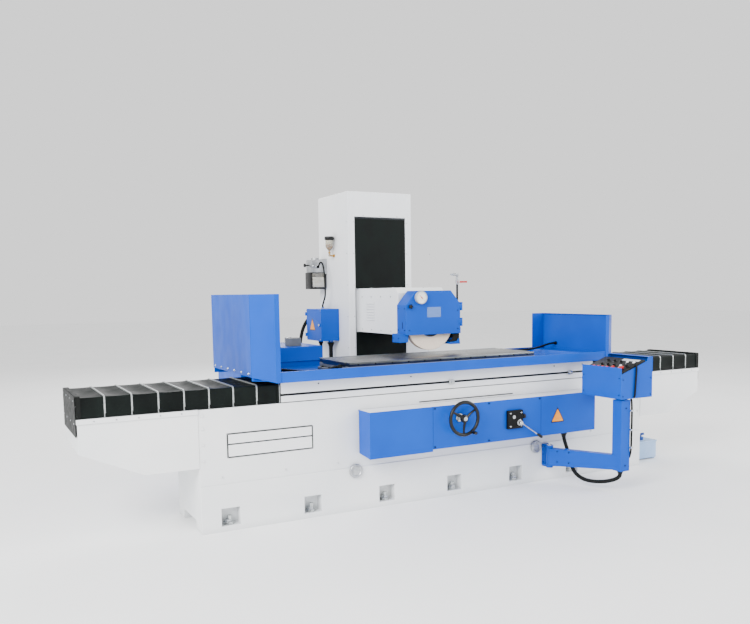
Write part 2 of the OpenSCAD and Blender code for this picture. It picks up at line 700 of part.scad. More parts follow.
module head_housing() color(paint_white) difference() {
    union() {
        difference() {
            run_x(col_x - head_half, col_x + head_half, [[head_y, head_z0], [890, head_z0],
                [890, head_z1], [head_y + 46, head_z1], [head_y, head_z1 - 40]]);
            run_x(col_x - head_half + 14, col_x + head_half - 14, [[head_y + 16, head_z0 + 14],
                [880, head_z0 + 14], [880, head_z1 - 14], [head_y + 60, head_z1 - 14],
                [head_y + 16, head_z1 - 54]]);
        }
        along_y(col_x, spindle_z, 74, head_y, 470);
        // carriage with its side keepers and the nut of the elevating screw
        block(col_x - 235, col_x + 235, 889, rail_y - film, 1080, 1580);
        for (s = [-1, 1]) block(col_x + s * 225.5 - 9.5, col_x + s * 225.5 + 9.5, 900, 955, 1080, 1580);
        block(col_x - 45, col_x + 45, rail_y - 1, screw_y + 40, 1290, 1370);
    }
    along_y(col_x, spindle_z, 55, head_y - eps, 471);
    along_z(col_x, screw_y, screw_r + 0.08, 1289, 1371);
}

module spindle_motor() color(iron) difference() {
    union() {
        along_y(col_x, spindle_z, 72.9, 500, 780);
        block(col_x - 60, col_x + 60, 540, 740, head_z0 + 14, spindle_z - 40);
    }
    along_y(col_x, spindle_z, 52, 499, 781);
}

module spindle_bearings() color(steel) for (y = [226, 420]) difference() {
    along_y(col_x, spindle_z, 55, y, y + 40);
    along_y(col_x, spindle_z, 30.05, y - eps, y + 41);
}

function guard_outline(t) = [[guard_x0 + t, guard_z0 - (t > 0 ? eps : 0)],
    [guard_x1 - t, guard_z0 - (t > 0 ? eps : 0)], [guard_x1 - t, guard_z1 - 105 - t / 3],
    [guard_x1 - 90 - t / 2, guard_z1 - t], [guard_x0 + 90 + t / 2, guard_z1 - t],
    [guard_x0 + t, guard_z1 - 105 - t / 3]];

module wheel_guard() color(paint_blue) {
    difference() {
        run_y(guard_y0, guard_y1, guard_outline(0));
        run_y(guard_y0 - eps, guard_y1 - guard_t, guard_outline(guard_t));
        along_y(col_x, spindle_z, 60, guard_y1 - 8, guard_y1 + eps);
    }
    difference() {
        along_y(col_x, spindle_z, 84, guard_y1, head_y);
        along_y(col_x, spindle_z, 60, guard_y1 - eps, head_y + eps);
    }
    // spark catcher at the left, and the splash foot at the right
    block(-240, guard_x0 + 28, 75, 185, 1100, 1165);
    block(200, guard_x1, 70, 185, 1072, 1088);
    block(236, guard_x1 - 6, 76, 180, 1087, guard_z0 + 8);
    // knuckles and pins of the door's hinges
    for (z = [1240, 1360]) {
        along_z(hinge_x, hinge_y, 4, z - 32, z + 32);
        for (s = [-1, 1]) {
            along_z(hinge_x, hinge_y, 8, z + s * 24 - 8, z + s * 24 + 8);
            block(guard_x1 - 1, hinge_x + 5, hinge_y + 3, 84, z + s * 24 - 8, z + s * 24 + 8);
        }
    }
}

module guard_door() color(paint_blue) difference() {
    union() {
        difference() {
            run_y(guard_y0 - 6.5, guard_y0 - 0.5, guard_outline(0));
            block(guard_x1 - 4, guard_x1 + 20, 40, 70, 1200, 1400);
        }
        for (z = [1240, 1360]) {
            along_z(hinge_x, hinge_y, 8, z - 15.5, z + 15.5);
            block(guard_x1 - 24, hinge_x, guard_y0 - 8.5, guard_y0 - 3.5, z - 15.5, z + 15.5);
        }
    }
    for (z = [1240, 1360]) along_z(hinge_x, hinge_y, 4.06, z - 20, z + 20);
}

module door_gauge() color("white") {
    along_y(-73, 1432, 47, 34, guard_y0 - 6.5);
    difference() {
        along_y(-73, 1432, 49, 28, 34);
        along_y(-73, 1432, 42, 27, 32);
    }
}

// Star knob that clamps the door
module door_knob() color(black) {
    along_y(-163, 1366, 7, 40, guard_y0 - 6.8);
    for (k = [0:4]) along_y(-163 + 11 * cos(72 * k), 1366 + 11 * sin(72 * k), 7, 34, 46);
    along_y(-163, 1366, 12, 32, 46);
}

module coolant_pipe() color(steel) {
    x = 312;
    y = 135;
    along_x(y, 1400, 8, guard_x1, x);
    along_z(x, y, 8, 1392, 1536);
    along_z(x, y, 14, 1528, 1562);
    along_z(x, y, 10, 1562, 1590);
    along_z(x, y, 13, 1590, 1616);
    along_x(y, 1604, 9, x - 60, x);
    along_y(x, 1546, 4, 114, y);
}

module coolant_lever() color("#d2222a") difference() {
    union() {
        block(312, 395, 115, 120, 1539, 1553);
        along_y(312, 1546, 10, 114.5, 120.5);
    }
    along_y(312, 1546, 4.06, 113, 122);
}

module spindle_shaft() color(steel) {
    along_y(col_x, spindle_z, 22, 66, 170);
    along_y(col_x, spindle_z, 30, 170, 505);
    along_y(col_x, spindle_z, 49, 505, 775);
    along_y(col_x, spindle_z, 28, 775, 840);
}

module wheel_flange() color(iron) {
    half = wheel_w / 2;
    difference() {
        union() {
            along_y(col_x, spindle_z, 100, wheel_mid_y - half - 12, wheel_mid_y - half);
            along_y(col_x, spindle_z, wheel_bore / 2, wheel_mid_y - half - 1, wheel_mid_y + half + 1);
            along_y(col_x, spindle_z, 100, wheel_mid_y + half, wheel_mid_y + half + 12);
        }
        along_y(col_x, spindle_z, 22, 60, 170.5);
    }
    difference() {
        translate([col_x, 68, spindle_z]) rotate([-90, 0, 0]) cylinder(h = 14.9, r = 38, $fn = 6);
        along_y(col_x, spindle_z, 22, 60, 90);
    }
}

module grinding_wheel() color("#efe3d5") difference() {
    along_y(col_x, spindle_z, wheel_d / 2, wheel_mid_y - wheel_w / 2, wheel_mid_y + wheel_w / 2);
    along_y(col_x, spindle_z, wheel_bore / 2, 60, 170);
}

// ---- Controls ----

module handwheel() color(black) {
    rim_r = 13;
    translate([wheel_x, wheel_y, wheel_z]) rotate([90, 0, 0]) {
        rotate_extrude($fn = 64) translate([handwheel_d / 2 - rim_r, 0]) circle(r = rim_r, $fn = 24);
        for (k = [0:2]) rotate([0, 0, 30 + 120 * k]) translate([0, -9, -7])
            cube([handwheel_d / 2 - rim_r, 18, 14]);
        translate([0, 0, -16]) cylinder(h = 34, r = 30);
        // crank grip
        rotate([0, 0, -60]) translate([handwheel_d / 2 - rim_r, 0, 0]) cylinder(h = 70, r = 12);
    }
    along_y(wheel_x, wheel_z, 12, wheel_y + 10, -262);
}

module speed_lever() color(steel) translate([valve_x + 34, fair_y, valve_z - 24]) {
    along_y(0, 0, 15, -52, -27.3);
    rotate([0, 33, 0]) {
        along_x(-42, 0, 5, 0, 190);
        along_x(-42, 0, 12, 175, 232);
    }
}

module pendant_arm() color(paint_blue) {
    run = norm([post_x - arm_x, post_y - arm_y]);
    turn = atan2(post_y - arm_y, post_x - arm_x);
    difference() {
        union() {
            along_z(arm_x, arm_y, 26, 139, 277);
            translate([arm_x, arm_y, 0]) rotate([0, 0, turn]) rotate([90, 0, 0])
                linear_extrude(64, center = true)
                    polygon([[0, 139], [run - 20, 164], [run - 20, 272], [0, 272]]);
            block(post_x - post_s / 2, post_x + post_s / 2, post_y - post_s / 2, post_y + post_s / 2,
                158, con_z0 - 10);
            along_z(post_x, post_y, 34, con_z0 - 11, con_z0);
            along_z(post_x, post_y, 20, con_z0 - 11, con_z0 + 30);
        }
        translate([arm_x, arm_y, 0]) rotate([0, 0, turn]) rotate([90, 0, 0])
            linear_extrude(54, center = true)
                polygon([[34, 146], [run - 60, 169], [run - 60, 267], [34, 267]]);
        block(post_x - post_s / 2 + 5, post_x + post_s / 2 - 5, post_y - post_s / 2 + 5,
            post_y + post_s / 2 - 5, 163, con_z0 - 16);
        along_z(arm_x, arm_y, 12.06, 130, 290);
        along_z(post_x, post_y, 12, 600, con_z0 + 31);
    }
}

module console_box() color(paint_blue) {
    y1 = con_y0 + console_l;
    x1 = con_x0 + con_w;
    difference() {
        run_y(con_y0, y1, [[con_x0, con_z0 + 0.5], [x1, con_z0 + 0.5], [x1, 985], [x1 - 48, 985],
            [x1 - 56, panel_z0 + panel_rise - 2], [con_x0 + 2, panel_z0], [con_x0, panel_z0]]);
        run_y(con_y0 + 3, y1 - 3, [[con_x0 + 3, con_z0 + 3.5], [x1 - 3, con_z0 + 3.5], [x1 - 3, 982],
            [x1 - 51, 982], [x1 - 59, panel_z0 + panel_rise - 6], [con_x0 + 3, panel_z0 - 4]]);
        along_z(post_x, post_y, 20.06, con_z0 - eps, con_z0 + 10);
        // clearance under the buttons
        for (p = button_spots) button_place(p) cylinder(h = 60, r = 14, center = true);
    }
    block(con_x0, con_x0 + 3, con_y0, y1, con_z0 + 1, 915);
}

// A place on the sloping panel: distance up the slope, and distance along the box
module button_place(p) translate([con_x0 + 2, con_y0, panel_z0]) rotate([0, -panel_a, 0])
    translate([p.x, p.y, 0]) children();

module control_panel() color(black) button_place([0, 0]) {
    difference() {
        translate([8, 2, 0.2]) cube([240, console_l - 4, 13]);
        for (p = button_spots) translate([p.x, p.y, -eps]) cylinder(h = 20, r = 11);
    }
    for (i = [0:4], j = [0:1]) if (i + j > 0)
        translate([selector_spot.x + 70 * j, selector_spot.y + 62 * i, 13]) cylinder(h = 16, r = 12);
    for (i = [0:3]) translate([64, 200 + 44 * i, 13]) cylinder(h = 10, r = 12);
}

// Push button that can travel into the panel
module button(p, head_r, head_h) button_place(p) {
    translate([0, 0, -12]) cylinder(h = 34, r = 10.8);
    translate([0, 0, 18]) cylinder(h = head_h, r = head_r);
}

module e_stop() color("#c8151d") button(button_spots[0], 22, 12);
module cycle_button() color("#c8151d") button(button_spots[1], 14, 10);

module selector_knob() color(black) button_place(selector_spot) {
    translate([0, 0, 13.5]) cylinder(h = 14, r = 14);
    translate([-4, -14, 27]) cube([8, 28, 8]);
}

bed_casting();
troughs();
table_cylinder();
levelling_screws();
sight_plugs();
front_covers();
panel_screws();
valve_box();
cross_bed();
cross_motor();
hydraulic_tank();
hydraulic_motor();
coolant_tank();
coolant_pump();
arm_bracket();
pendant_conduit();
table_casting();
splash_tray();
guard_left();
guard_right();
magnetic_chuck();
cylinder_rod();
chuck_cables();
bellows_left();
bellows_right();
trip_dog_left();
trip_dog_right();
column_casting();
column_saddle();
z_motor();
junction_box();
junction_door();
lubricator();
lubricator_knob();
oil_cup();
apron_upper();
apron_lower();
column_conduits();
cross_screw();
z_screw();
head_housing();
spindle_motor();
spindle_bearings();
wheel_guard();
coolant_pipe();
coolant_lever();
guard_door();
door_gauge();
door_knob();
spindle_shaft();
wheel_flange();
grinding_wheel();
handwheel();
speed_lever();
pendant_arm();
console_box();
control_panel();
e_stop();
cycle_button();
selector_knob();
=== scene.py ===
import json
from math import atan2, cos, pi, radians, sin

import bmesh
import bpy
from mathutils import Matrix, Vector


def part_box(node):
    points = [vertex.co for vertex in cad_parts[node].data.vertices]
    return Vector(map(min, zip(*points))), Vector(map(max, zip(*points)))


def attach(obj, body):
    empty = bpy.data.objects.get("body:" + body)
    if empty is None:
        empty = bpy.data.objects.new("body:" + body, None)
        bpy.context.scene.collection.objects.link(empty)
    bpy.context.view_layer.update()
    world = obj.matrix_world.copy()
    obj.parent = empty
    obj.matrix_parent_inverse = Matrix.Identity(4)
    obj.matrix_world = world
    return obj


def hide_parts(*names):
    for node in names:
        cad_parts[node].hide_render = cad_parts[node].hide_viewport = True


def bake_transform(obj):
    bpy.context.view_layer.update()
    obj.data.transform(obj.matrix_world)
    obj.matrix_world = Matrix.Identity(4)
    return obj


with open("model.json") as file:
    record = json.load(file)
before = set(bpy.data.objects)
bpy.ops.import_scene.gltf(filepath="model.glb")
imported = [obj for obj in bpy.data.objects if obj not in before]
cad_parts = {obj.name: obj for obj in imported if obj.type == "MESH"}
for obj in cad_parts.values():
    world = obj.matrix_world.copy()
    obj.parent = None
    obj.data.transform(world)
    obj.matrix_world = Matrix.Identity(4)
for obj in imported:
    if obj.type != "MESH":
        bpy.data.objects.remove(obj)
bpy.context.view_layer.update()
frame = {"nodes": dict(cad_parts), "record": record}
mm = 0.001
bodyOf = {node: body for body, nodes in frame["record"]["behaviour"]["bodies"].items() for node in nodes}
print("Frame loaded:", len(bodyOf), "CAD pieces")

# Camera: a standing viewer in front of the left end, turned towards the column
view = {"place": (-3.084, -4.903, 1.478), "yaw": 28.03, "pitch": 5.84, "roll": -0.81,
        "lens": 37.2, "sensor": 36, "shiftX": -0.0027, "shiftY": 0.0789}


def placeCamera():
    data = bpy.data.cameras.new("camera")
    data.lens = view["lens"]
    data.sensor_width = view["sensor"]
    data.shift_x = view["shiftX"]
    data.shift_y = view["shiftY"]
    camera = bpy.data.objects.new("camera", data)
    turn = Matrix.Rotation(-radians(view["yaw"]), 4, "Z")
    tilt = Matrix.Rotation(radians(90 - view["pitch"]), 4, "X")
    roll = Matrix.Rotation(radians(view["roll"]), 4, "Z")
    camera.matrix_world = Matrix.Translation(view["place"]) @ turn @ tilt @ roll
    bpy.context.scene.collection.objects.link(camera)
    bpy.context.scene.camera = camera


placeCamera()
print("Camera placed")


# ---- helpers for materials
def hexColour(code):  # sRGB hex to linear RGBA
    values = [int(code[i:i + 2], 16) / 255 for i in (1, 3, 5)]
    return [v / 12.92 if v <= 0.04045 else ((v + 0.055) / 1.055) ** 2.4 for v in values] + [1.0]


def addNode(tree, kind, settings=None, links=None):  # one node with its settings and what feeds it
    node = tree.nodes.new("ShaderNode" + kind)
    for key, value in (settings or {}).items():
        if isinstance(key, int) or key in node.inputs:
            node.inputs[key].default_value = value
        else:
            setattr(node, key, value)
    for key, source in (links or {}).items():
        tree.links.new(source, node.inputs[key])
    return node


def newFinish(name, settings):  # a material whose constant values sit on the shader's own sockets
    finish = bpy.data.materials.new(name)
    finish.use_nodes = True
    shader = finish.node_tree.nodes["Principled BSDF"]
    for key, value in settings.items():
        shader.inputs[key].default_value = value
    return finish, finish.node_tree, shader


def perMm(size):  # texture scale for a pattern of that size in millimetres
    return 1000 / size


def pattern(tree, sizeMm, detail=3, stretch=(1, 1, 1), kind="TexNoise"):
    coords = addNode(tree, "TexCoord")
    scaled = addNode(tree, "Mapping", {"Scale": stretch}, {"Vector": coords.outputs["Object"]})
    settings = {"Scale": perMm(sizeMm)}
    if kind == "TexNoise":
        settings["Detail"] = detail
    return addNode(tree, kind, settings, {"Vector": scaled.outputs[0]})


def spread(tree, source, low, high, start=0.35, end=0.65):  # turns a 0 to 1 pattern into a range of values
    return addNode(tree, "MapRange", {"From Min": start, "From Max": end, "To Min": low, "To Max": high},
                   {"Value": source}).outputs[0]


def mixColours(tree, factor, one, two):  # one and two are colours or sockets
    node = addNode(tree, "Mix", {"data_type": "RGBA"}, {0: factor})
    for slot, colour in ((6, one), (7, two)):
        if isinstance(colour, str):
            node.inputs[slot].default_value = hexColour(colour)
        else:
            tree.links.new(colour, node.inputs[slot])
    return node.outputs[2]


def edgeMask(tree, radius):  # 1 along sharp edges, where the colour is made paler: partly paint rubbed thin and dust wiped off, partly a painted highlight
    soft = addNode(tree, "Bevel", {"samples": 4, "Radius": radius})
    plain = addNode(tree, "NewGeometry")
    same = addNode(tree, "VectorMath", {"operation": "DOT_PRODUCT"},
                   {0: soft.outputs[0], 1: plain.outputs["Normal"]})
    return spread(tree, same.outputs["Value"], 0, 1, 0.995, 0.8)


def crevice(tree, distance):  # 1 in the open, towards 0 in corners and seams
    return addNode(tree, "AmbientOcclusion", {"samples": 4, "Distance": distance}).outputs["AO"]


def bumpFrom(tree, shader, height, depth, strength=1.0):
    node = addNode(tree, "Bump", {"Strength": strength, "Distance": depth}, {"Height": height})
    tree.links.new(node.outputs[0], shader.inputs["Normal"])


def enamel(look):
    finish, tree, shader = newFinish(look["name"], {"Metallic": 0.0, "IOR": 1.5,
                                                    "Specular IOR Level": look["gloss"],
                                                    "Coat Weight": look["coat"], "Coat Roughness": 0.12})
    cloud = pattern(tree, look["cloudMm"], 4)
    base = mixColours(tree, spread(tree, cloud.outputs[0], 0, 1), look["colour"], look["shade"])
    # corners and seams are tinted towards a second colour: a darker tone of the paint on most enamels, which
    # is painted shade, and a paler grey on the black enamel, which is dust
    dirt = spread(tree, crevice(tree, look["dustAndShadeReach"]), look["dirt"], 0, 0.2, 0.9)
    dustedAndShaded = mixColours(tree, dirt, base, look["dustAndShadeColour"])
    # sharp edges are mixed towards a paler colour: partly paint rubbed thin, partly a painted highlight
    edgeWearAndHighlight = addNode(tree, "Math", {"operation": "MULTIPLY", 1: look["edge"]}, {0: edgeMask(tree, 3 * mm)})
    colour = mixColours(tree, edgeWearAndHighlight.outputs[0], dustedAndShaded, look["edgeColour"])
    tree.links.new(colour, shader.inputs["Base Color"])
    smear = pattern(tree, 90, 5, (1, 1, 0.6))
    rough = spread(tree, smear.outputs[0], look["rough"] - 0.05, look["rough"] + 0.07)
    tree.links.new(rough, shader.inputs["Roughness"])
    peel = pattern(tree, look["peelMm"], 2)
    bumpFrom(tree, shader, peel.outputs[0], look["peelDepth"])
    return finish


# Two-pack polyurethane enamel, sprayed over filler: even and glossy with a faint orange peel, paler
# along the edges, partly where they are handled and partly as a painted highlight. The peel is drawn at 6 mm,
# coarser than life, so that it shows.
blueLook = {"name": "blueMachineEnamel", "colour": "#004CB6", "shade": "#0046AC", "coat": 0.0, "gloss": 0.12,
            "rough": 0.34,
            "cloudMm": 420, "peelMm": 6, "peelDepth": 0.25 * mm, "dirt": 0.35, "dustAndShadeReach": 0.05,
            "dustAndShadeColour": "#003A90", "edge": 0.3, "edgeColour": "#2B84E6"}
# The same enamel in off-white on filled castings: broad soft unevenness, grey in the corners, partly dust and
# partly painted shade
whiteLook = {"name": "whiteMachineEnamel", "colour": "#ECEDED", "shade": "#E3E6E8", "coat": 0.1, "gloss": 0.5,
             "rough": 0.42,
             "cloudMm": 500, "peelMm": 9, "peelDepth": 0.3 * mm, "dirt": 0.45, "dustAndShadeReach": 0.06,
             "dustAndShadeColour": "#8E9296", "edge": 0.3, "edgeColour": "#F8F9FA"}
# Pale blue stoving enamel on the sheet of the small coolant tank
paleLook = {"name": "paleBlueStovedEnamel", "colour": "#A5C3E8", "shade": "#97B8E0", "coat": 0.1,
            "gloss": 0.4, "rough": 0.4,
            "cloudMm": 120, "peelMm": 5, "peelDepth": 0.2 * mm, "dirt": 0.4, "dustAndShadeReach": 0.03,
            "dustAndShadeColour": "#6C8098", "edge": 0.3, "edgeColour": "#D2E0F2"}
# Darker enamel on pump bodies and the tank's lid
pumpLook = {"name": "darkBlueEnamel", "colour": "#2A55A8", "shade": "#234A96", "coat": 0.05, "gloss": 0.3,
            "rough": 0.45,
            "cloudMm": 60, "peelMm": 5, "peelDepth": 0.2 * mm, "dirt": 0.4, "dustAndShadeReach": 0.02,
            "dustAndShadeColour": "#16284E", "edge": 0.3, "edgeColour": "#5F88D0"}
# Grey primer-enamel on rough cast motors: matt, grainy from the sand mould
castLook = {"name": "greyCastPaint", "colour": "#6D7176", "shade": "#5F6367", "coat": 0.0, "gloss": 0.3,
            "rough": 0.58,
            "cloudMm": 80, "peelMm": 4, "peelDepth": 0.6 * mm, "dirt": 0.5, "dustAndShadeReach": 0.03,
            "dustAndShadeColour": "#2E3032", "edge": 0.35, "edgeColour": "#9A9EA2"}
# Black crackle enamel on the valve body and panel: matt with a fine wrinkle
blackLook = {"name": "blackCrackleEnamel", "colour": "#0B0C0D", "shade": "#070809", "coat": 0.0,
             "gloss": 0.15, "rough": 0.5,
             "cloudMm": 60, "peelMm": 3, "peelDepth": 0.4 * mm, "dirt": 0.2, "dustAndShadeReach": 0.02,
             "dustAndShadeColour": "#2B2D2E", "edge": 0.3, "edgeColour": "#4A4D50"}


def groundSteel():  # surface-ground tool steel: bright, with a fine straight lay along the table
    finish, tree, shader = newFinish("groundSteel", {"Metallic": 1.0, "Anisotropic": 0.4})
    lay = pattern(tree, 1.6, 2, (0.02, 1, 1))
    tint = pattern(tree, 150, 4)
    colour = mixColours(tree, spread(tree, tint.outputs[0], 0, 1), "#74797B", "#5E6365")
    tree.links.new(colour, shader.inputs["Base Color"])
    tree.links.new(spread(tree, lay.outputs[0], 0.24, 0.4), shader.inputs["Roughness"])
    bumpFrom(tree, shader, lay.outputs[0], 0.03 * mm)
    return finish


def turnedSteel():  # bright turned and plated steel: even, with faint tool rings and finger smears
    finish, tree, shader = newFinish("turnedPlatedSteel", {"Metallic": 1.0})
    smear = pattern(tree, 25, 4)
    colour = mixColours(tree, spread(tree, smear.outputs[0], 0, 1), "#C9CCCF", "#AEB2B6")
    tree.links.new(colour, shader.inputs["Base Color"])
    tree.links.new(spread(tree, smear.outputs[0], 0.18, 0.34), shader.inputs["Roughness"])
    bumpFrom(tree, shader, pattern(tree, 2, 2).outputs[0], 0.02 * mm)
    return finish


def galvanisedSteel():  # thin galvanised strip of the bellows frames: pale grey with zinc spangle
    finish, tree, shader = newFinish("galvanisedStrip", {"Metallic": 0.85})
    spangle = pattern(tree, 12, kind="TexVoronoi")
    colour = mixColours(tree, spread(tree, spangle.outputs["Distance"], 0, 1, 0.1, 0.7), "#C8CCCB", "#A9AEAE")
    tree.links.new(colour, shader.inputs["Base Color"])
    tree.links.new(spread(tree, spangle.outputs["Distance"], 0.35, 0.5, 0.1, 0.7), shader.inputs["Roughness"])
    bumpFrom(tree, shader, spangle.outputs["Distance"], 0.05 * mm)
    return finish


def blackOxide():  # socket screws and T-slot shadows: oiled black oxide on steel, barely reflecting
    finish, tree, shader = newFinish("blackOxideSteel", {"Metallic": 0.7})
    mottle = pattern(tree, 5, 3)
    tree.links.new(mixColours(tree, spread(tree, mottle.outputs[0], 0, 1), "#1C1E20", "#2B2E31"),
                   shader.inputs["Base Color"])
    tree.links.new(spread(tree, mottle.outputs[0], 0.35, 0.55), shader.inputs["Roughness"])
    bumpFrom(tree, shader, mottle.outputs[0], 0.05 * mm)
    return finish


def castAluminium():  # die-cast aluminium, bead blasted: soft silver with a sparkle
    finish, tree, shader = newFinish("castAluminium", {"Metallic": 1.0})
    blast = pattern(tree, 1.5, 2)
    tone = pattern(tree, 40, 3)
    tree.links.new(mixColours(tree, spread(tree, tone.outputs[0], 0, 1), "#C4C6C8", "#A4A7AA"),
                   shader.inputs["Base Color"])
    tree.links.new(spread(tree, tone.outputs[0], 0.4, 0.55), shader.inputs["Roughness"])
    bumpFrom(tree, shader, blast.outputs[0], 0.1 * mm)
    return finish


def polishedBrass():  # turned brass: warm yellow, dulled in places
    finish, tree, shader = newFinish("turnedBrass", {"Metallic": 1.0})
    tone = pattern(tree, 12, 3)
    tree.links.new(mixColours(tree, spread(tree, tone.outputs[0], 0, 1), "#C79A4B", "#A87C36"),
                   shader.inputs["Base Color"])
    tree.links.new(spread(tree, tone.outputs[0], 0.25, 0.45), shader.inputs["Roughness"])
    return finish


def mouldedPlastic(name, colour, shade, rough, grainMm=1.2):
    finish, tree, shader = newFinish(name, {"Metallic": 0.0, "IOR": 1.46, "Specular IOR Level": 0.35})
    grain = pattern(tree, grainMm, 2)
    tone = pattern(tree, 30, 3)
    tree.links.new(mixColours(tree, spread(tree, tone.outputs[0], 0, 1), colour, shade),
                   shader.inputs["Base Color"])
    tree.links.new(spread(tree, tone.outputs[0], rough - 0.05, rough + 0.06), shader.inputs["Roughness"])
    bumpFrom(tree, shader, grain.outputs[0], 0.05 * mm)
    return finish


def blackRubber():  # extruded EPDM: deep black, dusty sheen, fine drag lines
    finish, tree, shader = newFinish("extrudedRubber", {"Metallic": 0.0, "IOR": 1.45,
                                                        "Specular IOR Level": 0.2})
    bloom = pattern(tree, 35, 4)
    tree.links.new(mixColours(tree, spread(tree, bloom.outputs[0], 0, 1), "#060807", "#0D100F"),
                   shader.inputs["Base Color"])
    tree.links.new(spread(tree, bloom.outputs[0], 0.45, 0.62), shader.inputs["Roughness"])
    bumpFrom(tree, shader, pattern(tree, 2, 2).outputs[0], 0.08 * mm)
    return finish


# PVC-coated polyester of the way covers: almost black, a soft green-grey sheen over the weave
def coatedCloth():
    finish, tree, shader = newFinish("coatedPolyester", {"Metallic": 0.0, "IOR": 1.4,
                                                         "Specular IOR Level": 0.16})
    coords = addNode(tree, "TexCoord")
    threads = []
    for axis in ("X", "Z"):  # threads drawn at 8 mm so that the weave shows at this distance
        wave = addNode(tree, "TexWave", {"bands_direction": axis, "Scale": perMm(8) / 6.28, "Distortion": 0.4,
                                         "Detail": 1.0}, {"Vector": coords.outputs["Object"]})
        threads.append(wave.outputs["Fac"])
    weave = addNode(tree, "Math", {"operation": "MULTIPLY"}, {0: threads[0], 1: threads[1]}).outputs[0]
    crease = pattern(tree, 110, 4, (1, 0.6, 0.6))
    tree.links.new(mixColours(tree, spread(tree, crease.outputs[0], 0, 1), "#050908", "#0B1210"),
                   shader.inputs["Base Color"])
    tree.links.new(spread(tree, crease.outputs[0], 0.42, 0.58), shader.inputs["Roughness"])
    both = addNode(tree, "Math", {"operation": "MULTIPLY_ADD", 1: 0.12}, {0: weave, 2: crease.outputs[0]})
    bumpFrom(tree, shader, both.outputs[0], 2.5 * mm, 0.5)
    return finish


def wheelAbrasive():  # vitrified white and pink alumina: matt cream, sandy, open pores
    finish, tree, shader = newFinish("vitrifiedAlumina", {"Metallic": 0.0, "IOR": 1.6})
    grit = pattern(tree, 3, kind="TexVoronoi")  # 0.4 mm grit drawn at 3 mm so that it shows
    tone = pattern(tree, 45, 3)
    base = mixColours(tree, spread(tree, tone.outputs[0], 0, 1), "#EFE2D3", "#E9DACB")
    speck = spread(tree, grit.outputs["Distance"], 0.0, 0.3, 0.5, 0.9)
    tree.links.new(mixColours(tree, speck, base, "#D2BBA6"), shader.inputs["Base Color"])
    tree.links.new(spread(tree, tone.outputs[0], 0.8, 0.95), shader.inputs["Roughness"])
    bumpFrom(tree, shader, grit.outputs["Distance"], 0.5 * mm, 0.6)
    return finish


def clearAcrylic():  # moulded acrylic of cups and sight glasses: clear with a faint amber oil film
    finish, tree, shader = newFinish("clearAcrylic", {"Metallic": 0.0, "IOR": 1.49,
                                                      "Transmission Weight": 0.85, "Coat Weight": 0.2})
    film = pattern(tree, 20, 3)
    tree.links.new(mixColours(tree, spread(tree, film.outputs[0], 0, 1), "#F4F2EA", "#E8E2CE"),
                   shader.inputs["Base Color"])
    tree.links.new(spread(tree, film.outputs[0], 0.06, 0.16), shader.inputs["Roughness"])
    return finish


def printedPlate(name, colour, shade):  # anodised or vinyl plate, blank: satin with a fine brushed lay
    finish, tree, shader = newFinish(name, {"Metallic": 0.1, "IOR": 1.5, "Coat Weight": 0.3})
    lay = pattern(tree, 3, 2, (0.05, 1, 1))
    tree.links.new(mixColours(tree, spread(tree, lay.outputs[0], 0, 1), colour, shade),
                   shader.inputs["Base Color"])
    tree.links.new(spread(tree, lay.outputs[0], 0.3, 0.42), shader.inputs["Roughness"])
    return finish


blue = enamel(blueLook)
white = enamel(whiteLook)
paleBlue = enamel(paleLook)
pumpBlue = enamel(pumpLook)
castGrey = enamel(castLook)
crackle = enamel(blackLook)
ground = groundSteel()
plated = turnedSteel()
zinc = galvanisedSteel()
oxide = blackOxide()
aluminium = castAluminium()
brass = polishedBrass()
rubber = blackRubber()
cloth = coatedCloth()
abrasive = wheelAbrasive()
acrylic = clearAcrylic()
blackPlastic = mouldedPlastic("blackPhenolic", "#08090A", "#0F1011", 0.34)  # compression moulded, half gloss
redPlastic = mouldedPlastic("redNylon", "#C00A0A", "#A80808", 0.3)  # injection moulded, glossy
greyPlastic = mouldedPlastic("greyAbs", "#A9AFB6", "#989FA6", 0.42)  # fine spark-eroded texture
oil = mouldedPlastic("amberOil", "#B07A22", "#9C6A1C", 0.12, 8)  # way oil behind glass: glossy amber
yellowVinyl = printedPlate("yellowVinyl", "#F59A00", "#EC8E00")
dialEnamel = printedPlate("dialEnamel", "#F2F0EA", "#E8E5DC")
greyPlate = printedPlate("greyAnodised", "#5C7FC0", "#5274B4")
silverPlate = printedPlate("silverAnodised", "#C3C8CE", "#B4BAC1")
whitePlate = printedPlate("whiteVinyl", "#F1F2F3", "#E8EAEC")
blankPlate = printedPlate("blackVinyl", "#17191B", "#101214")
print("Materials made")


# ---- helpers for shapes; every shape is drawn in the machine's own frame, in metres
def addBlock(shape, low, high, soft=0.0, place=None):
    middle = (Vector(low) + Vector(high)) / 2
    size = Vector(high) - Vector(low)
    matrix = Matrix.Translation(middle) @ Matrix.Diagonal(size).to_4x4()
    cube = bmesh.ops.create_cube(shape, size=1, matrix=(place or Matrix()) @ matrix)
    if soft:
        edges = list({edge for corner in cube["verts"] for edge in corner.link_edges})
        bmesh.ops.bevel(shape, geom=edges, offset=soft, segments=2, profile=0.5, affect="EDGES",
                        clamp_overlap=True)


def facing(centre, direction, turn=0.0):  # own axes at centre: z along direction, y upwards
    z = Vector(direction).normalized()
    y = Vector((0, 0, 1)) if abs(z.z) < 0.9 else Vector((0, 1, 0))
    x = y.cross(z).normalized()
    y = z.cross(x)
    spun = Matrix.Rotation(turn, 4, "Z")
    return Matrix.Translation(centre) @ Matrix((x, y, z)).transposed().to_4x4() @ spun


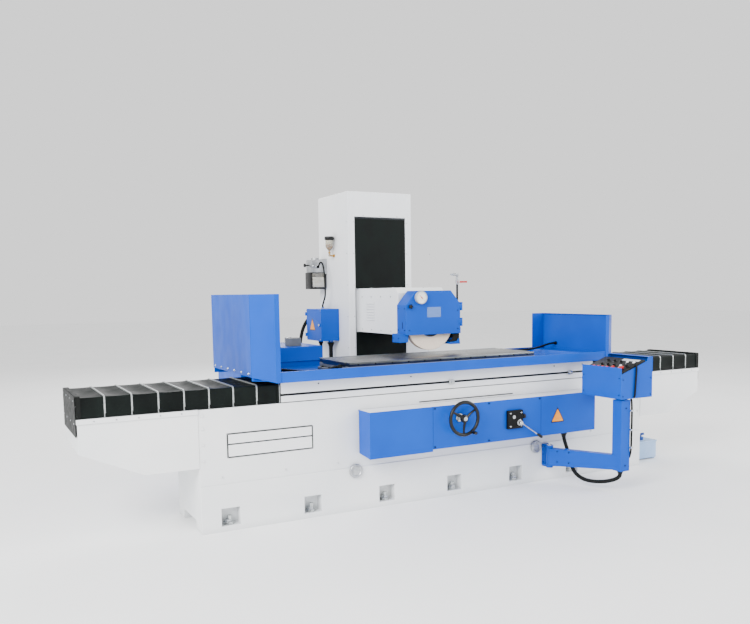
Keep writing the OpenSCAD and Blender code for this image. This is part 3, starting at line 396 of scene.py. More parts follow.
def addTurned(shape, profile, place, steps=32, closed=False, sweep=2 * pi):  # profile: radius and height
    whole = sweep > 2 * pi - 0.001
    count = steps if whole else steps + 1
    rings = []
    for radius, height in profile:
        angles = [0.0] if radius == 0 else [sweep * i / steps for i in range(count)]
        rings.append([shape.verts.new(place @ Vector((radius * cos(a), radius * sin(a), height)))
                      for a in angles])
    pairs = list(zip(rings, rings[1:])) + ([(rings[-1], rings[0])] if closed else [])
    for one, two in pairs:
        for i in range(steps):
            j = (i + 1) % count
            corners = [one[i % len(one)], one[j % len(one)], two[j % len(two)], two[i % len(two)]]
            unique = list(dict.fromkeys(corners))
            if len(unique) > 2:
                shape.faces.new(unique)


def addDisc(shape, radius, height, place, steps=32):  # a plain disc, or a nut with six steps
    addTurned(shape, [(0, 0), (radius, 0), (radius, height), (0, height)], place, steps)


def addPrism(shape, outline, low, high, place):  # outline in the place's x and y
    bottom = [shape.verts.new(place @ Vector((x, y, low))) for x, y in outline]
    top = [shape.verts.new(place @ Vector((x, y, high))) for x, y in outline]
    shape.faces.new(list(reversed(bottom)))
    shape.faces.new(top)
    for i in range(len(outline)):
        j = (i + 1) % len(outline)
        shape.faces.new([bottom[i], bottom[j], top[j], top[i]])


def roundedOutline(points, radius, steps=4):  # outline with each corner rounded
    result = []
    for i, here in enumerate(points):
        here = Vector(here)
        before = (Vector(points[i - 1]) - here).normalized()
        after = (Vector(points[(i + 1) % len(points)]) - here).normalized()
        for k in range(steps + 1):
            t = k / steps
            result.append(tuple(here + before * radius * (1 - t) ** 2 + after * radius * t ** 2))
    return result


def smoothRoute(points, steps):  # one smooth curve through the points
    route = []
    last = len(points) - 1
    for i in range(last):
        a, b, c, d = (Vector(points[max(0, min(last, k))]) for k in (i - 1, i, i + 1, i + 2))
        for k in range(steps):
            t = k / steps
            route.append(0.5 * (2 * b + (c - a) * t + (2 * a - 5 * b + 4 * c - d) * t * t
                                + (3 * b - a - 3 * c + d) * t ** 3))
    route.append(Vector(points[last]))
    return route


def addTube(shape, points, radius, sides=14, steps=8, pitch=0.0, depth=0.0):
    route = smoothRoute(points, steps)
    if pitch:  # corrugated: four rings to each rib
        spaced = [route[0]]
        carry = 0.0
        for one, two in zip(route, route[1:]):
            span = (two - one).length
            at = pitch / 4 - carry
            while at < span:
                spaced.append(one.lerp(two, at / span))
                at += pitch / 4
            carry = span - (at - pitch / 4)
        route = spaced
    normal = None
    rings = []
    for i, here in enumerate(route):
        ahead = (route[min(i + 1, len(route) - 1)] - route[max(i - 1, 0)]).normalized()
        if normal is None:
            normal = ahead.orthogonal().normalized()
        normal = (normal - ahead * normal.dot(ahead)).normalized()
        other = ahead.cross(normal)
        size = radius - (depth if pitch and i % 4 in (2, 3) else 0.0)
        rings.append([shape.verts.new(here + size * (cos(2 * pi * k / sides) * normal
                                                     + sin(2 * pi * k / sides) * other))
                      for k in range(sides)])
    for one, two in zip(rings, rings[1:]):
        for k in range(sides):
            shape.faces.new([one[k], one[(k + 1) % sides], two[(k + 1) % sides], two[k]])
    shape.faces.new(list(reversed(rings[0])))
    shape.faces.new(rings[-1])


def addCapScrew(shape, centre, direction, radius):  # socket head
    addTurned(shape, [(0, 0.2 * radius), (0.5 * radius, 0.2 * radius), (0.52 * radius, 0.85 * radius),
                      (0.85 * radius, 0.9 * radius), (radius, 0.7 * radius), (radius, 0), (0, 0)],
              facing(centre, direction), 16)


def addHexBolt(shape, centre, direction, radius):  # hexagon head on a washer
    place = facing(centre, direction)
    addTurned(shape, [(0, 0), (1.45 * radius, 0), (1.5 * radius, 0.1 * radius), (1.4 * radius, 0.28 * radius),
                      (0, 0.28 * radius)], place, 24)
    addTurned(shape, [(0, 0.25 * radius), (radius, 0.25 * radius), (radius, 0.85 * radius),
                      (0.88 * radius, radius), (0, radius)], place, 6)


def newPiece(name, shape, body, finish, sharp=32, soft=0.0, ride=True):
    bmesh.ops.recalc_face_normals(shape, faces=shape.faces)
    mesh = bpy.data.meshes.new(name)
    shape.to_mesh(mesh)
    shape.free()
    mesh.shade_smooth()
    mesh.set_sharp_from_angle(angle=radians(sharp))
    mesh.materials.append(finish)
    piece = bpy.data.objects.new(name, mesh)
    bpy.context.scene.collection.objects.link(piece)
    if soft:
        rounding = piece.modifiers.new("edges", "BEVEL")
        rounding.width = soft
        rounding.segments = 2
        rounding.limit_method = "ANGLE"
        rounding.angle_limit = radians(40)
        rounding.use_clamp_overlap = False
        rounding.harden_normals = True
    if ride:
        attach(piece, body)
    return piece


def camelName(node):
    words = node.split("_")
    return words[0] + "".join(word.capitalize() for word in words[1:])


# the CAD piece with its edges broken, as filler and paint leave them
def softened(node, softMm, finish):
    shape = bmesh.new()
    shape.from_mesh(frame["nodes"][node].data)
    bmesh.ops.remove_doubles(shape, verts=shape.verts, dist=0.01 * mm)
    bmesh.ops.dissolve_limit(shape, angle_limit=radians(1), verts=shape.verts, edges=shape.edges)
    piece = newPiece(camelName(node), shape, bodyOf[node], finish, 32, softMm * mm)
    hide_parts(node)
    return piece


def dress(node, finish):  # a CAD piece whose shape is right gets its finish
    for place in frame["nodes"][node].material_slots:
        place.material = finish


# ---- castings, covers and sheet work carried over from the CAD with softened edges
castings = {  # node: edge radius in mm, finish, slot
    "bed_casting": (2.5, white, "white_paint"), "troughs": (1.5, white, "white_paint"),
    "cross_bed": (4, white, "white_paint"), "table_casting": (2, white, "white_paint"),
    "column_casting": (4, white, "white_paint"), "column_saddle": (3, white, "white_paint"),
    "head_housing": (3, white, "white_paint"), "front_covers": (1.4, blue, "blue_paint"),
    "hydraulic_tank": (3, blue, "blue_paint"), "arm_bracket": (2, blue, "blue_paint"),
    "splash_tray": (1.2, blue, "blue_paint"), "guard_left": (1.2, blue, "blue_paint"),
    "guard_right": (1.2, blue, "blue_paint"), "junction_box": (1, blue, "blue_paint"),
    "junction_door": (1.2, blue, "blue_paint"), "wheel_guard": (1.5, blue, "blue_paint"),
    "guard_door": (1.6, blue, "blue_paint"), "pendant_arm": (2.5, blue, "blue_paint"),
    "console_box": (1.2, blue, "blue_paint"), "coolant_tank": (1.2, paleBlue, "tank_paint"),
    "valve_box": (1.2, crackle, "black_plastic"), "trip_dog_left": (1, plated, "bright_steel"),
    "trip_dog_right": (1, plated, "bright_steel"), "lubricator": (1.5, aluminium, "cast_grey"),
    "cross_motor": (2, castGrey, "cast_grey"), "hydraulic_motor": (2, castGrey, "cast_grey")}
for node, (softMm, finish, slotName) in castings.items():
    softened(node, softMm, finish)

inner = {"table_cylinder": castGrey, "levelling_screws": zinc, "cylinder_rod": plated, "z_motor": castGrey,
         "cross_screw": plated, "z_screw": plated, "spindle_motor": castGrey, "spindle_bearings": plated,
         "spindle_shaft": ground, "wheel_flange": oxide}
for node, finish in inner.items():
    dress(node, finish)
print("Castings and covers done")


# ---- pleated way covers: coated cloth over galvanised frames, fixed at the bed's end and at the table's end
bellows = {"folds": 8, "sag": 17 * mm, "bow": 7 * mm, "skin": 2 * mm, "corner": 16 * mm, "frame": 9 * mm,
           "frameProud": 5 * mm, "stretch": 0.1}


def acrossCover(halfWidth, low, high, corner, steps=5):  # path up one side, over the top and down the other
    path = [(-halfWidth, low + (high - corner - low) * i / 4) for i in range(5)]
    path += [(-halfWidth + corner * (1 - cos(a)), high - corner + corner * sin(a))
             for a in (pi / 2 * i / steps for i in range(1, steps + 1))]
    path += [((halfWidth - corner) * i / 6, high) for i in range(-5, 1)]
    return path + [(-y, z) for y, z in reversed(path[:-1])]


def makeBellows(side, node):
    low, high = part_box(node)
    end = high.x if side > 0 else low.x
    outer = side * (abs(end) - 11 * mm)  # the end frame, inside the hanging flap
    inner = side * min(abs(low.x), abs(high.x))
    pitch = (outer - inner) / bellows["folds"]
    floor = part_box("bed_casting")[1].z + 6 * mm
    top = high.z - 6 * mm
    half = high.y - 5 * mm
    shape = bmesh.new()
    rows = []
    for skin in (0, bellows["skin"]):
        path = acrossCover(half - skin, floor, top - skin, bellows["corner"])
        steps = bellows["folds"] * 8
        for step in range(steps + 1):
            fold = step / 8 % 1
            slack = sin(pi * fold) ** 0.8 if 0 < fold < 1 else 0
            flat = 0.55 + 0.45 * sin(7 * (step // 8 + side))  # no two folds hang quite alike
            row = []
            for y, z in path:
                over = min(1, max(0, (z - floor) / (top - floor)))
                middle = 1 - (abs(y) / half) ** 4
                drop = bellows["sag"] * slack * middle * (0.75 + 0.5 * flat)
                pull = bellows["bow"] * slack * (1 - middle) * sin(pi * min(1, over)) ** 0.5
                row.append(shape.verts.new((inner + pitch * step / 8, y - pull * (1 if y > 0 else -1),
                                            z - drop)))
            rows.append(row)
    count = len(rows) // 2
    for first in (0, count):
        for one, two in zip(rows[first:first + count - 1], rows[first + 1:first + count]):
            for k in range(len(one) - 1):
                shape.faces.new([one[k], one[k + 1], two[k + 1], two[k]])
    for k in range(count - 1):  # hems along both lower edges
        for edge in (0, -1):
            shape.faces.new([rows[k][edge], rows[k + 1][edge], rows[count + k + 1][edge],
                             rows[count + k][edge]])
    for step in (0, count - 1):  # ends
        for k in range(len(rows[0]) - 1):
            shape.faces.new([rows[step][k], rows[step][k + 1], rows[count + step][k + 1],
                             rows[count + step][k]])
    word = "Left" if side < 0 else "Right"
    skin = newPiece("bellowsCloth" + word, shape, "bed", cloth, 50, ride=False)
    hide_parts(node)

    shape = bmesh.new()
    for k in range(1, bellows["folds"]):  # frames between the folds
        addFrame(shape, inner + pitch * k, bellows["frame"], half, floor - 3 * mm, top)
    ribs = newPiece("bellowsFrames" + word, shape, "bed", zinc, 40, ride=False)
    for piece in (skin, ribs):
        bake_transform(piece)

    shape = bmesh.new()  # cuff that clamps the cloth to the table's end
    addFrame(shape, inner + side * 9 * mm, 24 * mm, half + 1 * mm, floor - 2 * mm, top + 1 * mm)
    newPiece("bellowsCuff" + word, shape, "table", cloth, 40)
    shape = bmesh.new()
    addFrame(shape, inner + side * 2 * mm, 4 * mm, half + 2 * mm, floor - 2 * mm, top + 2 * mm)
    newPiece("bellowsClamp" + word, shape, "table", zinc, 40)

    shape = bmesh.new()  # rubber end cap with the flap that hangs over the trough's end wall
    addFrame(shape, outer - side * 8 * mm, 26 * mm, half + 2 * mm, floor - 2 * mm, top + 2 * mm)
    outline = roundedOutline([(-half, low.z), (half, low.z), (half, high.z), (-half, high.z)], 12 * mm)
    addPrism(shape, outline, 0, 3 * mm, facing((end - side * 3.4 * mm, 0, 0), (side, 0, 0)))
    addBlock(shape, (min(outer, end) + 0.5 * mm, -half + 10 * mm, top), (max(outer, end) - 0.5 * mm,
             half - 10 * mm, top + 3 * mm), 1 * mm)
    newPiece("bellowsEnd" + word, shape, "bed", rubber, 40)
    shape = bmesh.new()
    for y in (-0.85, -0.3, 0.3, 0.85):
        for z in (floor - 30 * mm, top - 20 * mm):
            addCapScrew(shape, (end - side * 0.6 * mm, y * half, z), (side, 0, 0), 5 * mm)
    newPiece("bellowsScrews" + word, shape, "bed", plated)


def addFrame(shape, x, width, half, low, top):  # an upturned U of strip that stands proud of the cloth
    proud = bellows["frameProud"]
    outside = acrossCover(half + proud - 5 * mm, low, top + proud, bellows["corner"] + proud)
    inside = acrossCover(half - 8 * mm, low, top - 8 * mm, bellows["corner"])
    rings = []
    for path, offset in ((outside, -width / 2), (outside, width / 2), (inside, width / 2),
                         (inside, -width / 2)):
        rings.append([shape.verts.new((x + offset, y, z)) for y, z in path])
    for one, two in zip(rings, rings[1:] + rings[:1]):
        for k in range(len(one) - 1):
            shape.faces.new([one[k], one[k + 1], two[k + 1], two[k]])
    for k in (0, -1):
        shape.faces.new([ring[k] for ring in rings])


makeBellows(-1, "bellows_left")
makeBellows(1, "bellows_right")
print("Bellows made")


# ---- column aprons: flat sheets of rubberised cloth between the column and the head, with a clamping strip at the column's end
def makeApron(node, fixed, moving, word):
    low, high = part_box(node)
    steps = 12
    shape = bmesh.new()
    rows = []
    for y in (low.y, high.y):
        for z in (low.z, (low.z + high.z) / 2, high.z):
            rows.append([shape.verts.new((low.x + (high.x - low.x) * i / steps, y, z))
                         for i in range(steps + 1)])
    for first in (0, 3):
        for one, two in ((rows[first], rows[first + 1]), (rows[first + 1], rows[first + 2])):
            for k in range(steps):
                shape.faces.new([one[k], one[k + 1], two[k + 1], two[k]])
    for row in (0, 2):
        for k in range(steps):
            shape.faces.new([rows[row][k], rows[row][k + 1], rows[row + 3][k + 1], rows[row + 3][k]])
    for row in (0, 1):
        for k in (0, steps):
            shape.faces.new([rows[row][k], rows[row + 1][k], rows[row + 4][k], rows[row + 3][k]])
    apron = newPiece("apron" + word, shape, "column", cloth, 40, ride=False)
    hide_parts(node)
    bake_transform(apron)
    shape = bmesh.new()  # clamping strip at the column's end of the sheet
    edge = fixed + (-14 * mm if fixed > moving else 0)
    addBlock(shape, (low.x + 2 * mm, low.y - 3 * mm, edge), (high.x - 2 * mm, low.y - 0.2 * mm,
                                                             edge + 14 * mm),
             0.8 * mm)
    for i in range(7):
        addCapScrew(shape, (low.x + (high.x - low.x) * (i + 0.5) / 7, low.y - 3 * mm, edge + 7 * mm),
                    (0, -1, 0), 3 * mm)
    newPiece("apronStrip" + word, shape, "column", oxide)


upperLow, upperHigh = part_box("apron_upper")
lowerLow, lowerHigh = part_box("apron_lower")
makeApron("apron_upper", upperHigh.z, upperLow.z, "Upper")
makeApron("apron_lower", lowerLow.z, lowerHigh.z, "Lower")


# ---- cables and conduits: each runs from one housing to another, on the same points as its CAD tube
def addCableEnd(shape, centre, direction, radius, length):  # tapered strain relief with three rings
    profile = [(0, 0), (radius * 1.7, 0), (radius * 1.7, length * 0.3)]
    for k in range(3):
        at = length * (0.36 + 0.18 * k)
        profile += [(radius * (1.5 - 0.12 * k), at), (radius * (1.28 - 0.1 * k), at + length * 0.08)]
    profile += [(radius * 1.03, length), (0, length)]
    addTurned(shape, profile, facing(centre, direction), 20)


pendantRoute = [(0.940, -0.385, 0.385), (0.940, -0.388, 0.340), (0.942, -0.418, 0.270),
                (0.943, -0.452, 0.190),
                (0.944, -0.492, 0.112), (0.948, -0.560, 0.070), (0.975, -0.630, 0.052),
                (1.020, -0.710, 0.056),
                (1.060, -0.786, 0.080), (1.080, -0.822, 0.108), (1.084, -0.830, 0.134),
                (1.084, -0.830, 0.156)]
leadRoute = [(-0.350, 1.294, 1.700), (-0.350, 1.282, 1.702), (-0.350, 1.240, 1.736), (-0.350, 1.196, 1.722),
             (-0.349, 1.168, 1.660), (-0.347, 1.160, 1.560), (-0.345, 1.162, 1.460), (-0.343, 1.198, 1.405),
             (-0.342, 1.224, 1.372), (-0.342, 1.224, 1.353)]
conduitA = [(-0.2605, 1.440, 1.300), (-0.320, 1.440, 1.292), (-0.390, 1.440, 1.245), (-0.440, 1.435, 1.170),
            (-0.470, 1.425, 1.080), (-0.490, 1.405, 1.010), (-0.525, 1.380, 0.955), (-0.542, 1.380, 0.955),
            (-0.5585, 1.380, 0.955)]
conduitB = [(-0.360, 1.240, 1.055), (-0.362, 1.240, 1.000), (-0.390, 1.236, 0.920), (-0.450, 1.230, 0.860),
            (-0.525, 1.225, 0.836), (-0.542, 1.225, 0.836), (-0.5585, 1.225, 0.836)]
conduitC = [(-0.320, 1.120, 1.055), (-0.322, 1.118, 0.960), (-0.322, 1.114, 0.840), (-0.318, 1.108, 0.740),
            (-0.315, 1.105, 0.681)]
chuckLeft = [(-0.7915, -0.060, 0.962), (-0.840, -0.060, 0.962), (-0.900, -0.080, 0.950),
             (-0.980, -0.060, 0.940), (-1.060, 0.030, 0.940), (-1.110, 0.160, 0.940), (-1.180, 0.300, 0.944),
             (-1.280, 0.400, 0.958), (-1.370, 0.440, 0.985), (-1.430, 0.450, 1.030), (-1.480, 0.450, 1.050),
             (-1.510, 0.450, 1.050)]
chuckRight = [(0.8115, 0.200, 0.962), (0.870, 0.200, 0.966), (0.960, 0.240, 0.975), (1.080, 0.290, 0.972),
              (1.200, 0.330, 0.972), (1.320, 0.355, 0.984), (1.410, 0.365, 1.002), (1.480, 0.366, 1.010),
              (1.510, 0.366, 1.010)]

shape = bmesh.new()
addTube(shape, pendantRoute, 15 * mm, pitch=7 * mm, depth=1.6 * mm)
pendantHose = newPiece("pendantConduit", shape, "bed", rubber, 60, ride=False)
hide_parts("pendant_conduit")
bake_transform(pendantHose)
shape = bmesh.new()
addCableEnd(shape, (0.940, -0.385, 0.386), (0, 0, -1), 15 * mm, 38 * mm)
newPiece("pendantGland", shape, "bed", blackPlastic)
shape = bmesh.new()
addCableEnd(shape, (1.084, -0.830, 0.158), (0, 0, -1), 15 * mm, 26 * mm)
newPiece("postGland", shape, "pendant", blackPlastic)

shape = bmesh.new()
addTube(shape, conduitA, 16 * mm, pitch=8 * mm, depth=1.8 * mm)
addTube(shape, conduitB, 12 * mm, pitch=7 * mm, depth=1.4 * mm)
tankHoses = newPiece("tankConduits", shape, "column", rubber, 60, ride=False)
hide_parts("column_conduits")
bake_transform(tankHoses)
shape = bmesh.new()
addTube(shape, leadRoute, 7 * mm, sides=12)
addTube(shape, conduitC, 18 * mm, pitch=9 * mm, depth=2 * mm)
addCableEnd(shape, leadRoute[0], (0, -1, 0), 7 * mm, 20 * mm)
addCableEnd(shape, conduitA[0], (-1, 0, 0), 16 * mm, 34 * mm)
addCableEnd(shape, conduitB[0], (0, 0, -1), 12 * mm, 30 * mm)
addCableEnd(shape, conduitC[0], (0, 0, -1), 18 * mm, 36 * mm)
columnHoses = newPiece("columnLeads", shape, "column", rubber, 60)
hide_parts("column_conduits")
shape = bmesh.new()
addCableEnd(shape, conduitA[-1], (1, 0, 0), 16 * mm, 30 * mm)
addCableEnd(shape, conduitB[-1], (1, 0, 0), 12 * mm, 26 * mm)
newPiece("tankGlands", shape, "bed", blackPlastic)

shape = bmesh.new()
addTube(shape, chuckLeft, 12 * mm, pitch=8 * mm, depth=1.4 * mm)
addTube(shape, chuckRight, 9 * mm, pitch=7 * mm, depth=1.2 * mm)
for route, radius, side in ((chuckLeft, 12 * mm, -1), (chuckRight, 9 * mm, 1)):
    addCableEnd(shape, route[0], (side, 0, 0), radius, 30 * mm)
    addCableEnd(shape, route[-1], (-side, 0, 0), radius, 28 * mm)
chuckHoses = newPiece("chuckConduits", shape, "table", rubber, 60)
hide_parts("chuck_cables")
print("Aprons and cables made")


# ---- bed: blank name plate, ledge screws, sight plugs, locknuts in the levelling pockets
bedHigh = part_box("bed_casting")[1]
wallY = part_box("arm_bracket")[1].y + 6 * mm  # front face of the bed above its ledge
plate = {"x": (-1.685, -1.105), "z": (0.462, 0.618), "thick": 2.5 * mm, "border": 9 * mm, "split": 0.548}


def makeNamePlate():
    x0, x1 = plate["x"]
    z0, z1 = plate["z"]
    middle = ((x0 + x1) / 2, wallY, 0)
    face = facing(middle, (0, -1, 0))
    half = (x1 - x0) / 2
    shape = bmesh.new()
    addPrism(shape, roundedOutline([(-half, z0), (half, z0), (half, z1), (-half, z1)], 5 * mm), 0,
             plate["thick"], face)
    newPiece("namePlateFrame", shape, "bed", blankPlate, soft=0.4 * mm)
    inset = plate["border"]
    shape = bmesh.new()
    for low, high in ((z0 + inset, plate["split"] - inset / 2), (plate["split"] + inset / 2, z1 - inset)):
        outline = [(-half + inset, low), (half - inset, low), (half - inset, high), (-half + inset, high)]
        addPrism(shape, roundedOutline(outline, 2 * mm), plate["thick"] * 0.5, plate["thick"] + 0.6 * mm,
                 face)
    newPiece("namePlateField", shape, "bed", whitePlate, soft=0.2 * mm)
    shape = bmesh.new()
    for x in (x0 + 5 * mm, x1 - 5 * mm):
        for z in (z0 + 5 * mm, z1 - 5 * mm):
            addTurned(shape, [(0, 0), (2.6 * mm, 0), (2.2 * mm, 1.2 * mm), (0, 1.8 * mm)],
                      facing((x, wallY - plate["thick"], z), (0, -1, 0)), 12)
    newPiece("namePlateRivets", shape, "bed", aluminium)


makeNamePlate()

shape = bmesh.new()  # knurled plugs with a shallow dished face
low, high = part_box("sight_plugs")
for x in (low.x + 47 * mm, high.x - 47 * mm):
    face = facing((x, high.y, (low.z + high.z) / 2), (0, -1, 0))
    profile = [(0, 0), (45 * mm, 0), (47 * mm, 2 * mm), (47 * mm, 13 * mm), (44 * mm, 16 * mm),
               (37 * mm, 16.5 * mm),
               (36 * mm, 19.5 * mm), (33 * mm, 20 * mm), (30 * mm, 17 * mm), (0, 16 * mm)]
    addTurned(shape, profile, face, 64)
    for k in range(40):
        spot = face @ Matrix.Rotation(2 * pi * k / 40, 4, "Z")
        addBlock(shape, (46.4 * mm, -1.2 * mm, 3 * mm), (47.6 * mm, 1.2 * mm, 12 * mm), 0.3 * mm, spot)
    addBlock(shape, (-26 * mm, -3 * mm, 15.5 * mm), (26 * mm, 3 * mm, 18.5 * mm), 0.8 * mm, face)
sightPlugs = newPiece("sightPlugs", shape, "bed", aluminium)
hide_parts("sight_plugs")

shape = bmesh.new()
low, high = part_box("levelling_screws")
pocketXs = [low.x + 14 * mm + (high.x - low.x - 28 * mm) * i / 6 for i in range(7)]
for x in pocketXs:
    for y in (low.y + 24 * mm, high.y - 24 * mm):
        addTurned(shape, [(0, 0), (24 * mm, 0), (24 * mm, 12 * mm), (21 * mm, 14 * mm), (0, 14 * mm)],
                  facing((x, y, 54 * mm), (0, 0, 1)), 6)
        addDisc(shape, 30 * mm, 3 * mm, facing((x, y, 50 * mm), (0, 0, 1)), 28)
newPiece("levellingNuts", shape, "bed", plated)

shape = bmesh.new()
for x in (-1.72, -1.30, -0.93, 1.32, 1.74):  # plugs of the way drains and the ledge
    addCapScrew(shape, (x, wallY, 0.344), (0, -1, 0), 7 * mm)
for side in (-1, 1):
    for z in (0.46, 0.56, 0.66, 0.74):  # trough flange
        for s in (-1, 1):
            addHexBolt(shape, (side * (bedHigh.x - 26 * mm), s * (0.279 if s < 0 else 0.285), z), (0, s, 0),
                       7 * mm)
newPiece("bedPlugs", shape, "bed", white)

shape = bmesh.new()  # drain spouts and bolts of the troughs
low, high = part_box("troughs")
for side, end in ((-1, low.x), (1, high.x)):
    for i in range(5):
        for s in (-1, 1):
            x = side * (bedHigh.x + (0.10 + 0.125 * i))
            addCapScrew(shape, (x, s * 0.288, 0.766), (0, s, 0), 4 * mm)
    addTurned(shape, [(0, 0), (26 * mm, 0), (26 * mm, 30 * mm), (22 * mm, 34 * mm), (16 * mm, 34 * mm),
                      (16 * mm, 12 * mm), (0, 12 * mm)], facing((side * 2.03, 0.1, 0.418), (0, 0, -1)), 28)
newPiece("troughFittings", shape, "bed", plated)

# ---- front covers: seams, screws, warning triangle, valve, lever and handwheel
coverLow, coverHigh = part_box("front_covers")
shape = bmesh.new()
low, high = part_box("panel_screws")
for x, z in ((low.x, high.z), (low.x, low.z), (0.19, low.z), (high.x, high.z), (high.x, low.z),
             (0.19, high.z)):
    spot = (x + (5 * mm if x == low.x else 0) - (5 * mm if x == high.x else 0), coverLow.y,
            z + (5 * mm if z == low.z else -5 * mm))
    addCapScrew(shape, spot, (0, -1, 0), 6 * mm)
panelScrews = newPiece("panelScrews", shape, "bed", oxide)
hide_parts("panel_screws")

shape = bmesh.new()  # black seal strips at the two seams and behind the shelf
for x in (-0.2805, 0.665):
    addBlock(shape, (x - 0.8 * mm, coverLow.y - 0.4 * mm, coverLow.z + 16 * mm),
             (x + 0.8 * mm, coverLow.y + 3 * mm, coverHigh.z - 3 * mm), 0.3 * mm)
addBlock(shape, (-0.29, wallY - 4 * mm, 0.702), (0.53, wallY + 1 * mm, 0.708), 1 * mm)
addBlock(shape, (coverLow.x + 2 * mm, wallY - 1.5 * mm, coverHigh.z - 6 * mm),
         (coverHigh.x - 2 * mm, wallY + 1 * mm, coverHigh.z + 1.2 * mm), 0.4 * mm)
newPiece("coverSeals", shape, "bed", rubber)


def addTriangle(signs, borders, centre, direction, size):  # blank warning triangle, no pictogram
    points = [(size * 0.58 * cos(a), size * 0.58 * sin(a) - size * 0.06) for a in (pi / 2, pi * 7 / 6,
                                                                                   pi * 11 / 6)]
    small = [(0.80 * x, 0.80 * y - size * 0.008) for x, y in points]
    place = facing(centre, direction)
    addPrism(borders, roundedOutline(points, size * 0.09), 0, 0.6 * mm, place)
    addPrism(signs, roundedOutline(small, size * 0.06), 0.2 * mm, 1.0 * mm, place)


signs, borders = bmesh.new(), bmesh.new()
addTriangle(signs, borders, (0.825, coverLow.y, 0.529), (0, -1, 0), 0.135)
newPiece("coverTriangle", signs, "bed", yellowVinyl)
newPiece("coverTriangleEdge", borders, "bed", blankPlate)

valveLow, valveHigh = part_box("valve_box")
valveMid = ((valveLow.x + valveLow.x + 134 * mm) / 2, valveLow.y, (valveLow.z + valveHigh.z) / 2)
shape = bmesh.new()
for x in (-1, 1):
    for z in (-1, 1):
        addCapScrew(shape, (valveMid[0] + x * 48 * mm, valveMid[1], valveMid[2] + z * 48 * mm), (0, -1, 0),
                    6 * mm)
addTurned(shape, [(0, -2 * mm), (22 * mm, -2 * mm), (22 * mm, 3 * mm), (19 * mm, 5 * mm), (0, 5 * mm)],
          facing((valveMid[0] + 34 * mm, valveMid[1], valveMid[2] - 24 * mm), (0, -1, 0)), 32)
addDisc(shape, 13 * mm, 4 * mm, facing((valveMid[0] - 18 * mm, valveMid[1], valveMid[2] + 20 * mm),
                                       (0, -1, 0)), 24)
newPiece("valveTrim", shape, "bed", plated)
shape = bmesh.new()
outline = [(18 * mm * (0.9 if i % 2 else 1) * cos(2 * pi * i / 32), 18 * mm * (0.9 if i % 2 else 1)
            * sin(2 * pi * i / 32)) for i in range(32)]
addPrism(shape, outline, -2 * mm, 14 * mm, facing((valveHigh.x - 14 * mm, valveLow.y + 14 * mm,
                                                   valveMid[2] + 18 * mm), (1, 0, 0)))
newPiece("valveKnob", shape, "bed", blackPlastic, soft=1 * mm)

leverLow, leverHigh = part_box("speed_lever")
pivot = Vector((valveMid[0] + 34 * mm, leverLow.y + 10 * mm, valveMid[2] - 24 * mm))
lever = {"fall": 33, "rod": 4.5 * mm, "reach": 0.178, "grip": 0.056, "gripR": 12 * mm}
along = Vector((cos(radians(lever["fall"])), 0, -sin(radians(lever["fall"]))))
shape = bmesh.new()
addTurned(shape, [(0, -16 * mm), (13 * mm, -16 * mm), (15 * mm, -13 * mm), (15 * mm, 5 * mm),
                  (12 * mm, 8 * mm),
                  (0, 8.5 * mm)], facing(pivot, (0, -1, 0)), 32)
addTurned(shape, [(0, 0), (7 * mm, 0), (7 * mm, 12 * mm), (lever["rod"], 16 * mm), (lever["rod"] * 0.85,
                  lever["reach"]), (0, lever["reach"])], facing(pivot + along * 10 * mm, along), 24)
speedLever = newPiece("speedLever", shape, "table_lever", plated)
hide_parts("speed_lever")
shape = bmesh.new()
grip = lever["gripR"]
addTurned(shape, [(0, 0), (0.55 * grip, 0), (0.7 * grip, 3 * mm), (0.95 * grip, lever["grip"] * 0.6),
                  (grip, lever["grip"] * 0.8), (0.75 * grip, lever["grip"] * 0.97), (0, lever["grip"])],
          facing(pivot + along * (lever["reach"] - 2 * mm), along), 28)
newPiece("leverGrip", shape, "table_lever", blackPlastic)

wheelLow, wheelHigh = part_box("handwheel")
hand = {"rim": 13 * mm, "spokes": 3, "dish": 14 * mm, "hub": 30 * mm}
radius = (wheelHigh.x - wheelLow.x) / 2
handCentre = Vector(((wheelLow.x + wheelHigh.x) / 2, wheelLow.y + 70 * mm, (wheelLow.z + wheelHigh.z) / 2))


